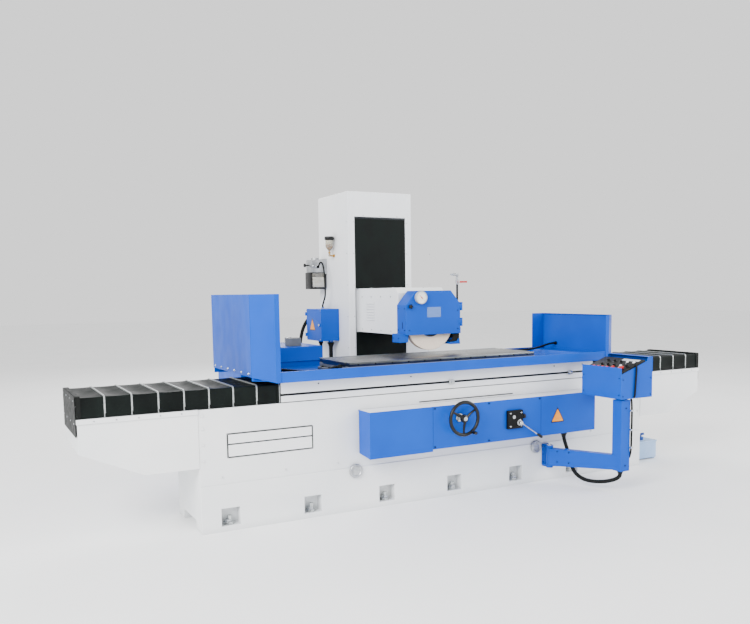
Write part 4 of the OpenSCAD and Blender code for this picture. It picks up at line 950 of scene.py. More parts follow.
def makeHandwheel():
    face = facing(handCentre, (0, -1, 0))
    shape = bmesh.new()
    middle = radius - hand["rim"]
    rings = []
    for i in range(96):  # rim with shallow finger scallops behind
        turn = Matrix.Rotation(2 * pi * i / 96, 4, "Z")
        scallop = 1 - 0.10 * (0.5 + 0.5 * cos(2 * pi * i / 96 * 24))
        ring = []
        for k in range(16):
            a = 2 * pi * k / 16
            size = hand["rim"] * (scallop if sin(a) < 0 else 1)
            ring.append(shape.verts.new(face @ turn @ Vector((middle + size * cos(a), 0, size * sin(a)))))
        rings.append(ring)
    for one, two in zip(rings, rings[1:] + rings[:1]):
        for k in range(16):
            shape.faces.new([one[k], one[(k + 1) % 16], two[(k + 1) % 16], two[k]])
    for k in range(hand["spokes"]):  # dished spokes, wider at the hub
        turn = face @ Matrix.Rotation(radians(30 + 120 * k), 4, "Z")
        sections = []
        for step in range(9):
            t = step / 8
            out = hand["hub"] * 0.7 + (middle - hand["hub"] * 0.7) * t
            wide = 13 * mm - 5 * mm * sin(pi * t / 2)
            deep = 7 * mm - 1.5 * mm * t
            rise = hand["dish"] * (1 - t) ** 2 - 4 * mm * sin(pi * t)
            sections.append([shape.verts.new(turn @ Vector((out, wide * cos(a),
                                                            rise - 6 * mm + deep * sin(a))))
                             for a in (2 * pi * j / 12 for j in range(12))])
        for one, two in zip(sections, sections[1:]):
            for j in range(12):
                shape.faces.new([one[j], one[(j + 1) % 12], two[(j + 1) % 12], two[j]])
        shape.faces.new(list(reversed(sections[0])))
        shape.faces.new(sections[-1])
    addTurned(shape, [(0, -18 * mm), (24 * mm, -18 * mm), (28 * mm, -12 * mm), (hand["hub"], -2 * mm),
                      (hand["hub"] - 4 * mm, 12 * mm), (20 * mm, 16 * mm), (0, 16 * mm)], face, 40)
    piece = newPiece("handwheel", shape, "wheel_hand", blackPlastic, 40)
    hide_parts("handwheel")
    shape = bmesh.new()
    addTurned(shape, [(0, 15 * mm), (15 * mm, 15 * mm), (15 * mm, 18 * mm), (13 * mm, 19.5 * mm),
                      (0, 20 * mm)],
              face, 32)
    addTurned(shape, [(0, -250 * mm), (12 * mm, -250 * mm), (12 * mm, -14 * mm), (0, -14 * mm)], face, 24)
    newPiece("handwheelShaft", shape, "wheel_hand", plated)
    shape = bmesh.new()  # crank grip
    foot = face @ Matrix.Rotation(radians(-60), 4, "Z") @ Matrix.Translation((middle, 0, 0))
    addTurned(shape, [(0, 8 * mm), (8 * mm, 8 * mm), (9 * mm, 16 * mm), (11.5 * mm, 30 * mm),
                      (12.5 * mm, 48 * mm),
                      (11 * mm, 62 * mm), (6 * mm, 69 * mm), (0, 70 * mm)], foot, 28)
    newPiece("crankGrip", shape, "wheel_hand", blackPlastic, 50)
    shape = bmesh.new()  # flange round the shaft on the cover
    addTurned(shape, [(12.5 * mm, 0), (29 * mm, 0), (29 * mm, 3 * mm), (25 * mm, 6 * mm),
                      (12.5 * mm, 6 * mm)],
              facing((handCentre.x, coverLow.y, handCentre.z), (0, -1, 0)), 40, closed=True)
    newPiece("shaftFlange", shape, "bed", plated)


makeHandwheel()
print("Bed and front covers done")

# ---- table: trip-dog slot, tray bolts, chuck
tableLow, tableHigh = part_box("table_casting")
dogLow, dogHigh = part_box("trip_dog_left")
slotZ = (dogLow.z + dogHigh.z) / 2
shape = bmesh.new()  # dark sheets inside the T-slot that stand in for the shade in it: painted shade
addBlock(shape, (tableLow.x + 1 * mm, tableLow.y + 16 * mm, slotZ - 12 * mm),
         (tableHigh.x - 1 * mm, tableLow.y + 19 * mm, slotZ + 12 * mm), 0.5 * mm)
addBlock(shape, (tableLow.x + 4 * mm, tableLow.y + 1.5 * mm, slotZ - 6.9 * mm),
         (tableHigh.x - 4 * mm, tableLow.y + 9 * mm, slotZ - 5.2 * mm), 0.3 * mm)
newPiece("slotShadeSheets", shape, "table", oxide)
shape = bmesh.new()
for x in (-1.06, -0.36, 0.924, 1.21):  # oil points along the table's front
    addCapScrew(shape, (x, tableLow.y, 0.889), (0, -1, 0), 4.5 * mm)
for low, high in ((dogLow, dogHigh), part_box("trip_dog_right")):
    body = "dog_left" if low.x < 0 else "dog_right"
    knob = bmesh.new()
    addTurned(knob, [(0, 0), (8 * mm, 0), (9 * mm, 2 * mm), (9 * mm, 9 * mm), (7.5 * mm, 11 * mm),
                     (0, 11.5 * mm)],
              facing(((low.x + high.x) / 2, low.y + 8 * mm, slotZ), (0, -1, 0)), 20)
    newPiece("dogScrew" + ("Left" if low.x < 0 else "Right"), knob, body, plated)
newPiece("tablePlugs", shape, "table", oxide)

shape = bmesh.new()  # hexagon bolts that hold the guards to the tray
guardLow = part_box("guard_left")[0]
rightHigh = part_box("guard_right")[1]
for end, side in ((guardLow.x, -1), (rightHigh.x, 1)):
    for i in range(6):
        addHexBolt(shape, (end, -0.24 + 0.145 * i, 0.975), (side, 0, 0), 6 * mm)
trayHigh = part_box("splash_tray")[1]
for i in range(9):
    addHexBolt(shape, (-1.2 + 0.3 * i, trayHigh.y, 0.945), (0, 1, 0), 6 * mm)
newPiece("guardBolts", shape, "table", plated)

chuckLow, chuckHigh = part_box("magnetic_chuck")
chuck = {"pole": 19 * mm, "spacer": 3 * mm, "depth": 1.2 * mm, "base": 50 * mm, "margin": 34 * mm}
plateX = (chuckLow.x + 28 * mm, chuckHigh.x - 28 * mm)
plateY = (chuckLow.y + 4 * mm, chuckHigh.y - 12 * mm)
topZ = chuckHigh.z - 2 * mm


def makeChuck():
    shape = bmesh.new()
    pitch = chuck["pole"] + chuck["spacer"]
    count = int((plateX[1] - plateX[0] - 2 * chuck["margin"]) / pitch)
    start = (plateX[0] + plateX[1]) / 2 - count * pitch / 2
    addBlock(shape, (plateX[0], plateY[0], chuckLow.z + chuck["base"]), (plateX[1], plateY[1],
             topZ - chuck["depth"]), 1 * mm)
    addBlock(shape, (plateX[0], plateY[0], topZ - 2 * mm), (start - chuck["spacer"], plateY[1], topZ),
             0.4 * mm)
    addBlock(shape, (start + count * pitch, plateY[0], topZ - 2 * mm), (plateX[1], plateY[1], topZ), 0.4 * mm)
    for i in range(count):
        x = start + i * pitch
        addBlock(shape, (x, plateY[0] + 14 * mm, topZ - 2 * mm), (x + chuck["pole"], plateY[1] - 14 * mm,
                                                                  topZ),
                 0.3 * mm)
    for y in (plateY[0], plateY[1] - 14 * mm):
        addBlock(shape, (start - chuck["spacer"], y, topZ - 2 * mm), (start + count * pitch, y + 13.6 * mm,
                 topZ), 0.4 * mm)
    top = newPiece("chuckTop", shape, "table", ground)
    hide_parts("magnetic_chuck")
    shape = bmesh.new()
    for i in range(count):
        x = start + i * pitch + chuck["pole"]
        addBlock(shape, (x - 0.3 * mm, plateY[0] + 14.5 * mm, topZ - 2 * mm),
                 (x + chuck["spacer"] + 0.3 * mm, plateY[1] - 14.5 * mm, topZ - 0.25 * mm), 0.1 * mm)
    newPiece("chuckSpacers", shape, "table", brass)
    shape = bmesh.new()
    addBlock(shape, (chuckLow.x + 24 * mm, chuckLow.y, chuckLow.z),
             (chuckHigh.x - 24 * mm, plateY[1] + 4 * mm,
             chuckLow.z + chuck["base"] - 2 * mm), 3 * mm)
    for x in (chuckLow.x, chuckHigh.x - 26 * mm):  # clamp flanges
        addBlock(shape, (x, plateY[0] + 16 * mm, chuckLow.z), (x + 26 * mm, plateY[1] - 16 * mm,
                 chuckLow.z + 18 * mm), 2 * mm)
    newPiece("chuckBase", shape, "table", castGrey)
    shape = bmesh.new()
    addBlock(shape, (plateX[0] + 2 * mm, chuckHigh.y - 12 * mm, chuckHigh.z - 48 * mm),
             (plateX[1] - 2 * mm, chuckHigh.y, chuckHigh.z), 1 * mm)
    for x in (plateX[0] - 3 * mm, plateX[1] + 3 * mm):
        addBlock(shape, (x - 4 * mm, plateY[0] + 60 * mm, chuckHigh.z - 34 * mm),
                 (x + 4 * mm, plateY[1] - 60 * mm, chuckHigh.z - 1 * mm), 0.8 * mm)
    newPiece("chuckRails", shape, "table", ground)
    shape = bmesh.new()
    for i in range(12):
        x = plateX[0] + (plateX[1] - plateX[0]) * (i + 0.5) / 12
        addCapScrew(shape, (x, plateY[0], chuckLow.z + chuck["base"] + 12 * mm), (0, -1, 0), 6 * mm)
        addCapScrew(shape, (x, chuckHigh.y, chuckHigh.z - 20 * mm), (0, 1, 0), 5 * mm)
    for x, side in ((chuckLow.x + 13 * mm, -1), (chuckHigh.x - 13 * mm, 1)):
        for i in range(4):
            y = plateY[0] + 0.06 + 0.12 * i
            addHexBolt(shape, (x, y, chuckLow.z + 18 * mm), (0, 0, 1), 8 * mm)
    newPiece("chuckScrews", shape, "table", oxide)


makeChuck()
print("Table and chuck done")


# ---- column: edge strips with small screws, louvred rear cover, boxes on the side
columnLow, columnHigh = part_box("column_casting")
apronX = (upperLow.x - 4 * mm, upperHigh.x + 4 * mm)
openTop = upperHigh.z + 2 * mm
openBottom = lowerLow.z - 2 * mm
shape = bmesh.new()  # thin strips that frame the opening
for x0, x1 in ((apronX[0] - 22 * mm, apronX[0] - 2 * mm), (apronX[1] + 2 * mm, apronX[1] + 22 * mm)):
    addBlock(shape, (x0, columnLow.y - 1.6 * mm, openBottom), (x1, columnLow.y + 1 * mm, openTop + 20 * mm),
             0.6 * mm)
addBlock(shape, (apronX[0] - 1 * mm, columnLow.y - 1.6 * mm, openTop + 2 * mm),
         (apronX[1] + 1 * mm, columnLow.y + 1 * mm, openTop + 20 * mm), 0.6 * mm)
newPiece("openingStrips", shape, "column", white)
shape = bmesh.new()
rows = 6
for i in range(rows):
    z = openBottom + 0.06 + (openTop - openBottom - 0.10) * i / (rows - 1)
    for x in (apronX[0] - 12 * mm, apronX[1] + 12 * mm):
        addCapScrew(shape, (x, columnLow.y - 1.6 * mm, z), (0, -1, 0), 3.6 * mm)
    for x, side in ((columnLow.x, -1), (columnHigh.x, 1)):
        addCapScrew(shape, (x, columnLow.y + 26 * mm, z), (side, 0, 0), 4 * mm)
for x in (-0.12, 0.04, 0.20):
    addCapScrew(shape, (x, columnLow.y - 1.6 * mm, openTop + 11 * mm), (0, -1, 0), 3.6 * mm)
newPiece("columnScrews", shape, "column", aluminium)

shape = bmesh.new()  # dark strips beside the aprons that stand in for the shaded gap round the opening: painted shade
for x0, x1 in ((apronX[0], apronX[0] + 3.4 * mm), (apronX[1] - 3.4 * mm, apronX[1])):
    addBlock(shape, (x0, upperLow.y - 2 * mm, openBottom), (x1, upperLow.y + 4 * mm, openTop), 0.5 * mm)
newPiece("apronGapShade", shape, "column", oxide)

shape = bmesh.new()  # louvres and screws of the rear cover
rear = columnHigh.y
for column in (-1, 1):
    for i in range(9):
        z = 0.92 + 0.055 * i + (0.10 if i > 4 else 0)
        x = 0.04 + column * 0.085
        outline = [(0, 0), (0, 16 * mm), (-4 * mm, 15 * mm), (-9 * mm, 3 * mm), (-9 * mm, 0)]
        place = Matrix.Translation((x - 60 * mm, rear + 0.4 * mm, z)) @ Matrix(((0, 0, 1), (-1, 0, 0),
                                                                                (0, 1, 0))).to_4x4()
        addPrism(shape, outline, 0, 120 * mm, place)
newPiece("rearLouvres", shape, "column", white, soft=0.8 * mm)
shape = bmesh.new()
for x in (-0.125, 0.205):
    for i in range(5):
        addCapScrew(shape, (x, rear, 0.83 + 0.165 * i), (0, 1, 0), 5 * mm)
newPiece("columnFittings", shape, "column", oxide)

doorLow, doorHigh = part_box("junction_door")
signs, borders = bmesh.new(), bmesh.new()
doorFace = doorLow.x + 9.6 * mm
addTriangle(signs, borders, (doorFace, doorLow.y + 0.185, 1.20), (-1, 0, 0), 0.125)
newPiece("boxTriangle", signs, "box_door", yellowVinyl)
newPiece("boxTriangleEdge", borders, "box_door", blankPlate)
shape = bmesh.new()
for y in (doorLow.y + 14 * mm, doorHigh.y - 26 * mm):
    for z in (doorLow.z + 14 * mm, doorHigh.z - 14 * mm):
        addCapScrew(shape, (doorFace, y, z), (-1, 0, 0), 4.5 * mm)
addTurned(shape, [(0, 0), (11 * mm, 0), (11 * mm, 4 * mm), (9 * mm, 6 * mm), (0, 6 * mm)],
          facing((doorLow.x + 0.5 * mm, doorLow.y + 25 * mm, 1.205), (-1, 0, 0)), 28)
newPiece("boxDoorScrews", shape, "box_door", plated)
shape = bmesh.new()
for x, y, radius in ((conduitB[0][0], conduitB[0][1], 20 * mm), (conduitC[0][0], conduitC[0][1], 24 * mm)):
    addDisc(shape, radius, 8 * mm, facing((x, y, 1.070), (0, 0, -1)), 6)
addDisc(shape, 14 * mm, 8 * mm, facing((leadRoute[-1][0], leadRoute[-1][1], 1.340), (0, 0, 1)), 6)
addDisc(shape, 22 * mm, 9 * mm, facing((-0.2605, 1.440, 1.300), (-1, 0, 0)), 6)
newPiece("boxGlandNuts", shape, "column", plated)

# lubricator: cast pump, smoked tank with a pale front label, sprung pull knob
tank = {"x": (-0.4125, -0.2715), "y": (1.3055, 1.4245), "z": (1.510, 1.654)}
shape = bmesh.new()
addBlock(shape, (tank["x"][0] - 2 * mm, tank["y"][0] - 2 * mm, tank["z"][0] - 1 * mm),
         (tank["x"][1] + 1 * mm, tank["y"][1] + 2 * mm, tank["z"][1]), 5 * mm)
newPiece("lubricatorTank", shape, "column", blackPlastic)
shape = bmesh.new()
addBlock(shape, (tank["x"][0] + 14 * mm, tank["y"][0] - 3.4 * mm, tank["z"][0] + 14 * mm),
         (tank["x"][1] - 14 * mm, tank["y"][0] - 1 * mm, tank["z"][1] - 6 * mm), 1 * mm)
newPiece("lubricatorSight", shape, "column", acrylic)
shape = bmesh.new()
addBlock(shape, (tank["x"][0] + 17 * mm, tank["y"][0] - 2.4 * mm, tank["z"][0] + 18 * mm),
         (tank["x"][1] - 17 * mm, tank["y"][0] - 1.2 * mm, tank["z"][1] - 40 * mm), 0.5 * mm)
newPiece("lubricatorLabel", shape, "column", whitePlate)
shape = bmesh.new()
for x in (-0.392, -0.292):
    for z in (1.664, 1.748):
        addCapScrew(shape, (x, 1.312, z), (0, -1, 0), 5 * mm)
    addCapScrew(shape, (x, 1.405, 1.762), (0, 0, 1), 5 * mm)
addTurned(shape, [(0, 0), (34 * mm, 0), (34 * mm, 3 * mm), (30 * mm, 10 * mm), (26 * mm, 18 * mm),
                  (0, 18 * mm)],
          facing((-0.345, 1.365, 1.762), (0, 0, 1)), 40)
addTurned(shape, [(0, 0), (9 * mm, 0), (9 * mm, 10 * mm), (6 * mm, 12 * mm), (0, 12 * mm)],
          facing((-0.386, 1.312, 1.706), (0, -1, 0)), 6)
addDisc(shape, 12 * mm, 9 * mm, facing((-0.350, 1.305, 1.700), (0, -1, 0)), 6)
newPiece("lubricatorTrim", shape, "column", plated)
shape = bmesh.new()
knobLow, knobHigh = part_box("lubricator_knob")
knobY, knobZ = (knobLow.y + knobHigh.y) / 2, (knobLow.z + knobHigh.z) / 2
addTurned(shape, [(0, 0), (6 * mm, 0), (6 * mm, 26 * mm), (10 * mm, 27 * mm), (16 * mm, 31 * mm),
                  (17 * mm, 38 * mm),
                  (14 * mm, 44 * mm), (8 * mm, 46.5 * mm), (0, 47 * mm)], facing((knobHigh.x, knobY, knobZ),
                                                                                 (-1, 0, 0)), 32)
pullKnob = newPiece("lubricatorKnob", shape, "lubricator_handle", blackPlastic, 50)
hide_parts("lubricator_knob")

# oil cup: black cap, clear cup with oil, brass stem bent into the column
cup = {"x": -0.306, "y": 1.145, "foot": 1.782, "glass": 1.860, "cap": 1.925, "top": 1.950}
face = facing((cup["x"], cup["y"], 0), (0, 0, 1))
shape = bmesh.new()
addTurned(shape, [(9 * mm, cup["foot"]), (9 * mm, 1.832), (30 * mm, cup["glass"] - 2 * mm),
                  (32 * mm, cup["glass"] + 3 * mm),
                  (32 * mm, cup["cap"]), (29.5 * mm, cup["cap"]), (29.5 * mm, cup["glass"] + 4 * mm),
                  (7 * mm, 1.834), (6 * mm, cup["foot"])], face, 40, closed=True)
cupGlass = newPiece("oilCup", shape, "column", acrylic, 50)
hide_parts("oil_cup")
shape = bmesh.new()
addTurned(shape, [(0, 1.828), (6 * mm, 1.829), (27 * mm, cup["glass"]), (29 * mm, cup["glass"] + 5 * mm),
                  (29 * mm, cup["glass"] + 24 * mm), (0, cup["glass"] + 25 * mm)], face, 36)
newPiece("cupOil", shape, "column", oil, 50)
shape = bmesh.new()
addTurned(shape, [(0, cup["cap"] - 6 * mm), (33 * mm, cup["cap"] - 6 * mm), (40 * mm, cup["cap"] + 1 * mm),
                  (40 * mm, cup["top"] - 4 * mm), (36 * mm, cup["top"]), (12 * mm, cup["top"]),
                  (10 * mm, cup["top"] - 2 * mm), (0, cup["top"] - 2 * mm)], face, 40)
newPiece("cupCap", shape, "column", blackPlastic, 50)
shape = bmesh.new()
addTube(shape, [(cup["x"], cup["y"], 1.834), (cup["x"], cup["y"], 1.805), (cup["x"] + 4 * mm, cup["y"],
                                                                           1.793),
                (cup["x"] + 16 * mm, cup["y"], 1.789), (columnLow.x + 1 * mm, cup["y"], 1.789)], 6.5 * mm, 16,
        6)
addDisc(shape, 14 * mm, 9 * mm, facing((columnLow.x, cup["y"], 1.789), (-1, 0, 0)), 6)
addDisc(shape, 12 * mm, 8 * mm, facing((cup["x"], cup["y"], 1.812), (0, 0, 1)), 6)
newPiece("cupStem", shape, "column", brass, 40)
print("Column and its fittings done")

# ---- head: side plates; wheel guard, gauge, flap, wheel
headLow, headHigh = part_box("head_housing")
shape = bmesh.new()
for x in (headLow.x + 25 * mm, headHigh.x - 25 * mm):
    side = -1 if x < 0 else 1
    for i in range(4):
        for z in (1.175, 1.44):
            addCapScrew(shape, (x, 0.33 + 0.16 * i, z), (side, 0, 0), 5 * mm)
for x in (-0.10, 0.18):
    for y in (0.42, 0.78):
        addCapScrew(shape, (x, y, 1.507), (0, 0, 1), 6 * mm)
newPiece("headScrews", shape, "head", aluminium)
shape = bmesh.new()
for side, x in ((-1, headLow.x + 25 * mm), (1, headHigh.x - 25 * mm)):  # vent plates on both sides
    for i in range(7):
        outline = [(0, 0), (0, 9 * mm), (-2 * mm, 9 * mm), (-6 * mm, 2 * mm), (-6 * mm, 0)]
        axes = Matrix(((side * -1, 0, 0), (0, 0, 1), (0, 1, 0))).to_4x4()
        addPrism(shape, outline, 0, 0.13, Matrix.Translation((x, 0.60, 1.25 + 0.022 * i)) @ axes)
newPiece("headVents", shape, "head", white, soft=0.6 * mm)
doorLow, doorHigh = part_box("guard_door")
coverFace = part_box("door_gauge")[1].y
gauge = {"x": -0.073, "z": 1.432}
face = facing((gauge["x"], coverFace, gauge["z"]), (0, -1, 0))
shape = bmesh.new()
addTurned(shape, [(0, 0), (47 * mm, 0), (47 * mm, 20 * mm), (49 * mm, 21 * mm), (49 * mm, 24.5 * mm),
                  (46.5 * mm, 26.5 * mm),
                  (43 * mm, 26 * mm), (42 * mm, 22 * mm), (0, 22 * mm)], face, 64)
rim = newPiece("gaugeCase", shape, "guard_cover", greyPlastic)
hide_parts("door_gauge")
shape = bmesh.new()
addTurned(shape, [(0, 21 * mm), (42.2 * mm, 21 * mm), (42.2 * mm, 22.6 * mm), (0, 22.8 * mm)], face, 64)
newPiece("gaugeDial", shape, "guard_cover", dialEnamel)
ticks, needle = bmesh.new(), bmesh.new()
for k in range(21):
    turned = face @ Matrix.Rotation(radians(-135 + 13.5 * k), 4, "Z")
    longTick = k % 5 == 0
    addBlock(ticks, (-0.6 * mm if not longTick else -1.0 * mm, 31 * mm if longTick else 34 * mm, 22.6 * mm),
             (0.6 * mm if not longTick else 1.0 * mm, 38 * mm, 23.2 * mm), 0.1 * mm, turned)
newPiece("gaugeTicks", ticks, "guard_cover", oxide)
turned = face @ Matrix.Rotation(radians(42), 4, "Z")
addPrism(needle, [(-2.6 * mm, -16 * mm), (2.6 * mm, -16 * mm), (1.6 * mm, 10 * mm), (0, 33 * mm),
                  (-1.6 * mm, 10 * mm)],
         23.2 * mm, 24.0 * mm, turned)
addTurned(needle, [(0, 22.7 * mm), (5 * mm, 22.7 * mm), (5 * mm, 25 * mm), (3.5 * mm, 25.8 * mm),
                   (0, 25.8 * mm)], face, 24)
newPiece("gaugeNeedle", needle, "guard_cover", redPlastic)

shape = bmesh.new()
middleX, middleZ = 0.048, 1.321
outline = roundedOutline([(-61 * mm, -38 * mm), (61 * mm, -38 * mm), (61 * mm, 38 * mm), (-61 * mm, 38 * mm)],
                         4 * mm)
addPrism(shape, outline, -0.2 * mm, 1.6 * mm, facing((middleX, coverFace, middleZ), (0, -1, 0)))
newPiece("guardPlate", shape, "guard_cover", greyPlate, soft=0.3 * mm)
shape = bmesh.new()
for x in (-55 * mm, 55 * mm):
    for z in (-32 * mm, 32 * mm):
        addTurned(shape, [(0, 0), (2.4 * mm, 0), (2 * mm, 1 * mm), (0, 1.4 * mm)],
                  facing((middleX + x, coverFace - 1.6 * mm, middleZ + z), (0, -1, 0)), 12)
for x, z in ((0.262, 1.190), (0.262, 1.330), (-0.168, 1.190)):
    addCapScrew(shape, (x, coverFace, z), (0, -1, 0), 4 * mm)
newPiece("guardRivets", shape, "guard_cover", oxide)

knobLow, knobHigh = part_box("door_knob")
face = facing(((knobLow.x + knobHigh.x) / 2 + 0.6 * mm, coverFace - 8.3 * mm, 1.366), (0, -1, 0))
lobes = [((15.5 + 3.2 * cos(5 * a)) * mm * cos(a), (15.5 + 3.2 * cos(5 * a)) * mm * sin(a))
         for a in (2 * pi * i / 60 for i in range(60))]
shape = bmesh.new()
addPrism(shape, lobes, 0, 12 * mm, face)
addTurned(shape, [(0, -8 * mm), (8 * mm, -8 * mm), (8 * mm, 1 * mm), (0, 1 * mm)], face, 24)
addTurned(shape, [(0, 11.5 * mm), (9 * mm, 11.5 * mm), (7 * mm, 14 * mm), (0, 14.2 * mm)], face, 28)
starKnob = newPiece("starKnob", shape, "cover_knob", blackPlastic, 40, 1.5 * mm)
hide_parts("door_knob")

shape = bmesh.new()  # rubber splash flap behind the wheel's right side, with its clamp strip
bottom, top = 1.0885, 1.165
for y0, y1 in ((73 * mm, 76 * mm), (180 * mm, 183 * mm)):
    outline = [(0.193, bottom), (0.287, bottom), (0.287, top), (0.243, top), (0.232, bottom + 34 * mm)]
    axes = Matrix(((1, 0, 0), (0, 0, 1), (0, 1, 0))).to_4x4()
    addPrism(shape, outline, y0, y1, axes)
addBlock(shape, (0.232, 74 * mm, bottom + 30 * mm), (0.2855, 182 * mm, bottom + 62 * mm), 3 * mm)
addBlock(shape, (0.2838, 72 * mm, bottom), (0.2875, 184 * mm, top), 1 * mm)
newPiece("splashFlap", shape, "head", rubber, soft=0.8 * mm)
shape = bmesh.new()  # turned-down lips of the blue splash foot
axes = Matrix(((1, 0, 0), (0, 0, 1), (0, 1, 0))).to_4x4()
for y in (68.5 * mm, 184.5 * mm):
    addPrism(shape, [(0.198, 1.071), (0.294, 1.071), (0.288, 1.112), (0.276, 1.114), (0.262, 1.094),
                     (0.206, 1.084)],
             y, y + 2.5 * mm, axes)
newPiece("splashFootLips", shape, "head", blue, soft=0.5 * mm)
shape = bmesh.new()  # slot and screws on the guard's left side
addBlock(shape, (-0.1936, 0.108, 1.200), (-0.1915, 0.118, 1.250), 0.8 * mm)
for y, z in ((0.080, 1.19), (0.176, 1.19), (0.080, 1.35), (0.176, 1.35)):
    addCapScrew(shape, (-0.193, y, z), (-1, 0, 0), 4 * mm)
for y, z in ((0.09, 1.132), (0.17, 1.132)):
    addCapScrew(shape, (-0.240, y, z), (-1, 0, 0), 4 * mm)
addBlock(shape, (-0.236, 0.079, 1.0985), (-0.170, 0.181, 1.1008), 0.6 * mm)
newPiece("guardSlot", shape, "head", oxide)

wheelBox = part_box("grinding_wheel")
wheelR = (wheelBox[1].z - wheelBox[0].z) / 2
wheelW = wheelBox[1].y - wheelBox[0].y
wheelMid = Vector(((wheelBox[0].x + wheelBox[1].x) / 2, (wheelBox[0].y + wheelBox[1].y) / 2,
                   (wheelBox[0].z + wheelBox[1].z) / 2))
face = facing(wheelMid, (0, -1, 0))
shape = bmesh.new()
halfW = wheelW / 2
profile = [(64 * mm, -halfW), (wheelR - 2 * mm, -halfW), (wheelR, -halfW + 2 * mm), (wheelR, 0),
           (wheelR, halfW - 2 * mm), (wheelR - 2 * mm, halfW), (wheelR - 40 * mm, halfW), (64 * mm, halfW)]
addTurned(shape, profile, face, 128, closed=True)
wheel = newPiece("grindingWheel", shape, "spindle", abrasive)
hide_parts("grinding_wheel")
shape = bmesh.new()  # paper blotters under the flanges
for s in (-1, 1):
    addTurned(shape, [(64 * mm, s * halfW), (104 * mm, s * halfW), (104 * mm, s * (halfW + 0.5 * mm)),
                      (64 * mm, s * (halfW + 0.5 * mm))], face, 64, closed=True)
newPiece("wheelBlotters", shape, "spindle", greyPlate)
shape = bmesh.new()  # flange screws
for k in range(6):
    a = 2 * pi * k / 6
    addCapScrew(shape, face @ Vector((62 * mm * cos(a), 62 * mm * sin(a), halfW + 12 * mm)), (0, -1, 0),
                6 * mm)
newPiece("flangeScrews", shape, "spindle", plated)

# coolant pipe, valve and lever
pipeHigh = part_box("coolant_pipe")[1]
pipeX, pipeY = pipeHigh.x - 14 * mm, 0.135
face = facing((pipeX, pipeY, 0), (0, 0, 1))
shape = bmesh.new()
addTube(shape, [(0.2885, pipeY, 1.400), (0.298, pipeY, 1.400), (0.309, pipeY, 1.404), (pipeX, pipeY, 1.414),
                (pipeX, pipeY, 1.45), (pipeX, pipeY, 1.532)], 8 * mm, 18, 6)
addDisc(shape, 14 * mm, 6 * mm, facing((0.290, pipeY, 1.400), (1, 0, 0)), 6)
pipe = newPiece("coolantPipe", shape, "head", oxide, 50)
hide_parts("coolant_pipe")
shape = bmesh.new()
for low, high, r, steps in ((1.526, 1.534, 13, 6), (1.534, 1.556, 12, 32), (1.556, 1.566, 13.5, 6),
                            (1.566, 1.590, 9, 32),
                            (1.590, 1.598, 13, 6), (1.598, 1.614, 12, 32)):
    addTurned(shape, [(0, low), ((r - 1) * mm, low), (r * mm, low + 1 * mm), (r * mm, high - 1 * mm),
                      ((r - 1) * mm, high), (0, high)], face, steps)
addDisc(shape, 8 * mm, 14 * mm, facing((pipeX, pipeY - 10 * mm, 1.546), (0, -1, 0)), 24)
addTurned(shape, [(0, 0), (9 * mm, 0), (9 * mm, 22 * mm), (10.5 * mm, 23 * mm), (10.5 * mm, 30 * mm),
                  (0, 30 * mm)],
          facing((pipeX - 4 * mm, pipeY, 1.604), (-1, 0, 0)), 28)
newPiece("coolantValve", shape, "head", aluminium, 40)
shape = bmesh.new()
addTurned(shape, [(0, 0), (8 * mm, 0), (6.5 * mm, 24 * mm), (5 * mm, 26 * mm), (5 * mm, 20 * mm),
                  (0, 20 * mm)],
          facing((pipeX - 34 * mm, pipeY, 1.604), (-1, 0, 0)), 24)
newPiece("coolantNozzle", shape, "head", greyPlastic, 50)
leverLow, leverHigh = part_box("coolant_lever")
shape = bmesh.new()
outline = [(0, -9 * mm), (14 * mm, -7 * mm), (60 * mm, -6 * mm), (78 * mm, -7.5 * mm), (83 * mm, 0),
           (78 * mm, 7.5 * mm),
           (60 * mm, 6 * mm), (14 * mm, 7 * mm), (0, 9 * mm), (-7 * mm, 6 * mm), (-9 * mm, 0),
           (-7 * mm, -6 * mm)]
addPrism(shape, outline, 0, 4 * mm, facing((pipeX, leverHigh.y - 0.5 * mm, 1.546), (0, -1, 0)))
coolantLever = newPiece("coolantLever", shape, "valve_lever", redPlastic, 40, 1 * mm)
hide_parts("coolant_lever")
shape = bmesh.new()
addTurned(shape, [(0, 0), (6 * mm, 0), (6 * mm, 4 * mm), (5 * mm, 5 * mm), (0, 5 * mm)],
          facing((pipeX, leverLow.y + 1 * mm, 1.546), (0, -1, 0)), 6)
newPiece("leverNut", shape, "valve_lever", plated)
print("Head and guard done")


# ---- control box: wrinkled black panel, buttons, switches, grey plate; cable down the post
boxLow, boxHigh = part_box("console_box")
tilt = atan2(0.088, 0.250)
panelPlace = (Matrix.Translation((boxLow.x + 2 * mm, boxLow.y, 0.868)) @ Matrix.Rotation(-tilt, 4, "Y"))


def onPanel(x, y, lift=13.2):
    return panelPlace @ Matrix.Translation((x * mm, y * mm, lift * mm))


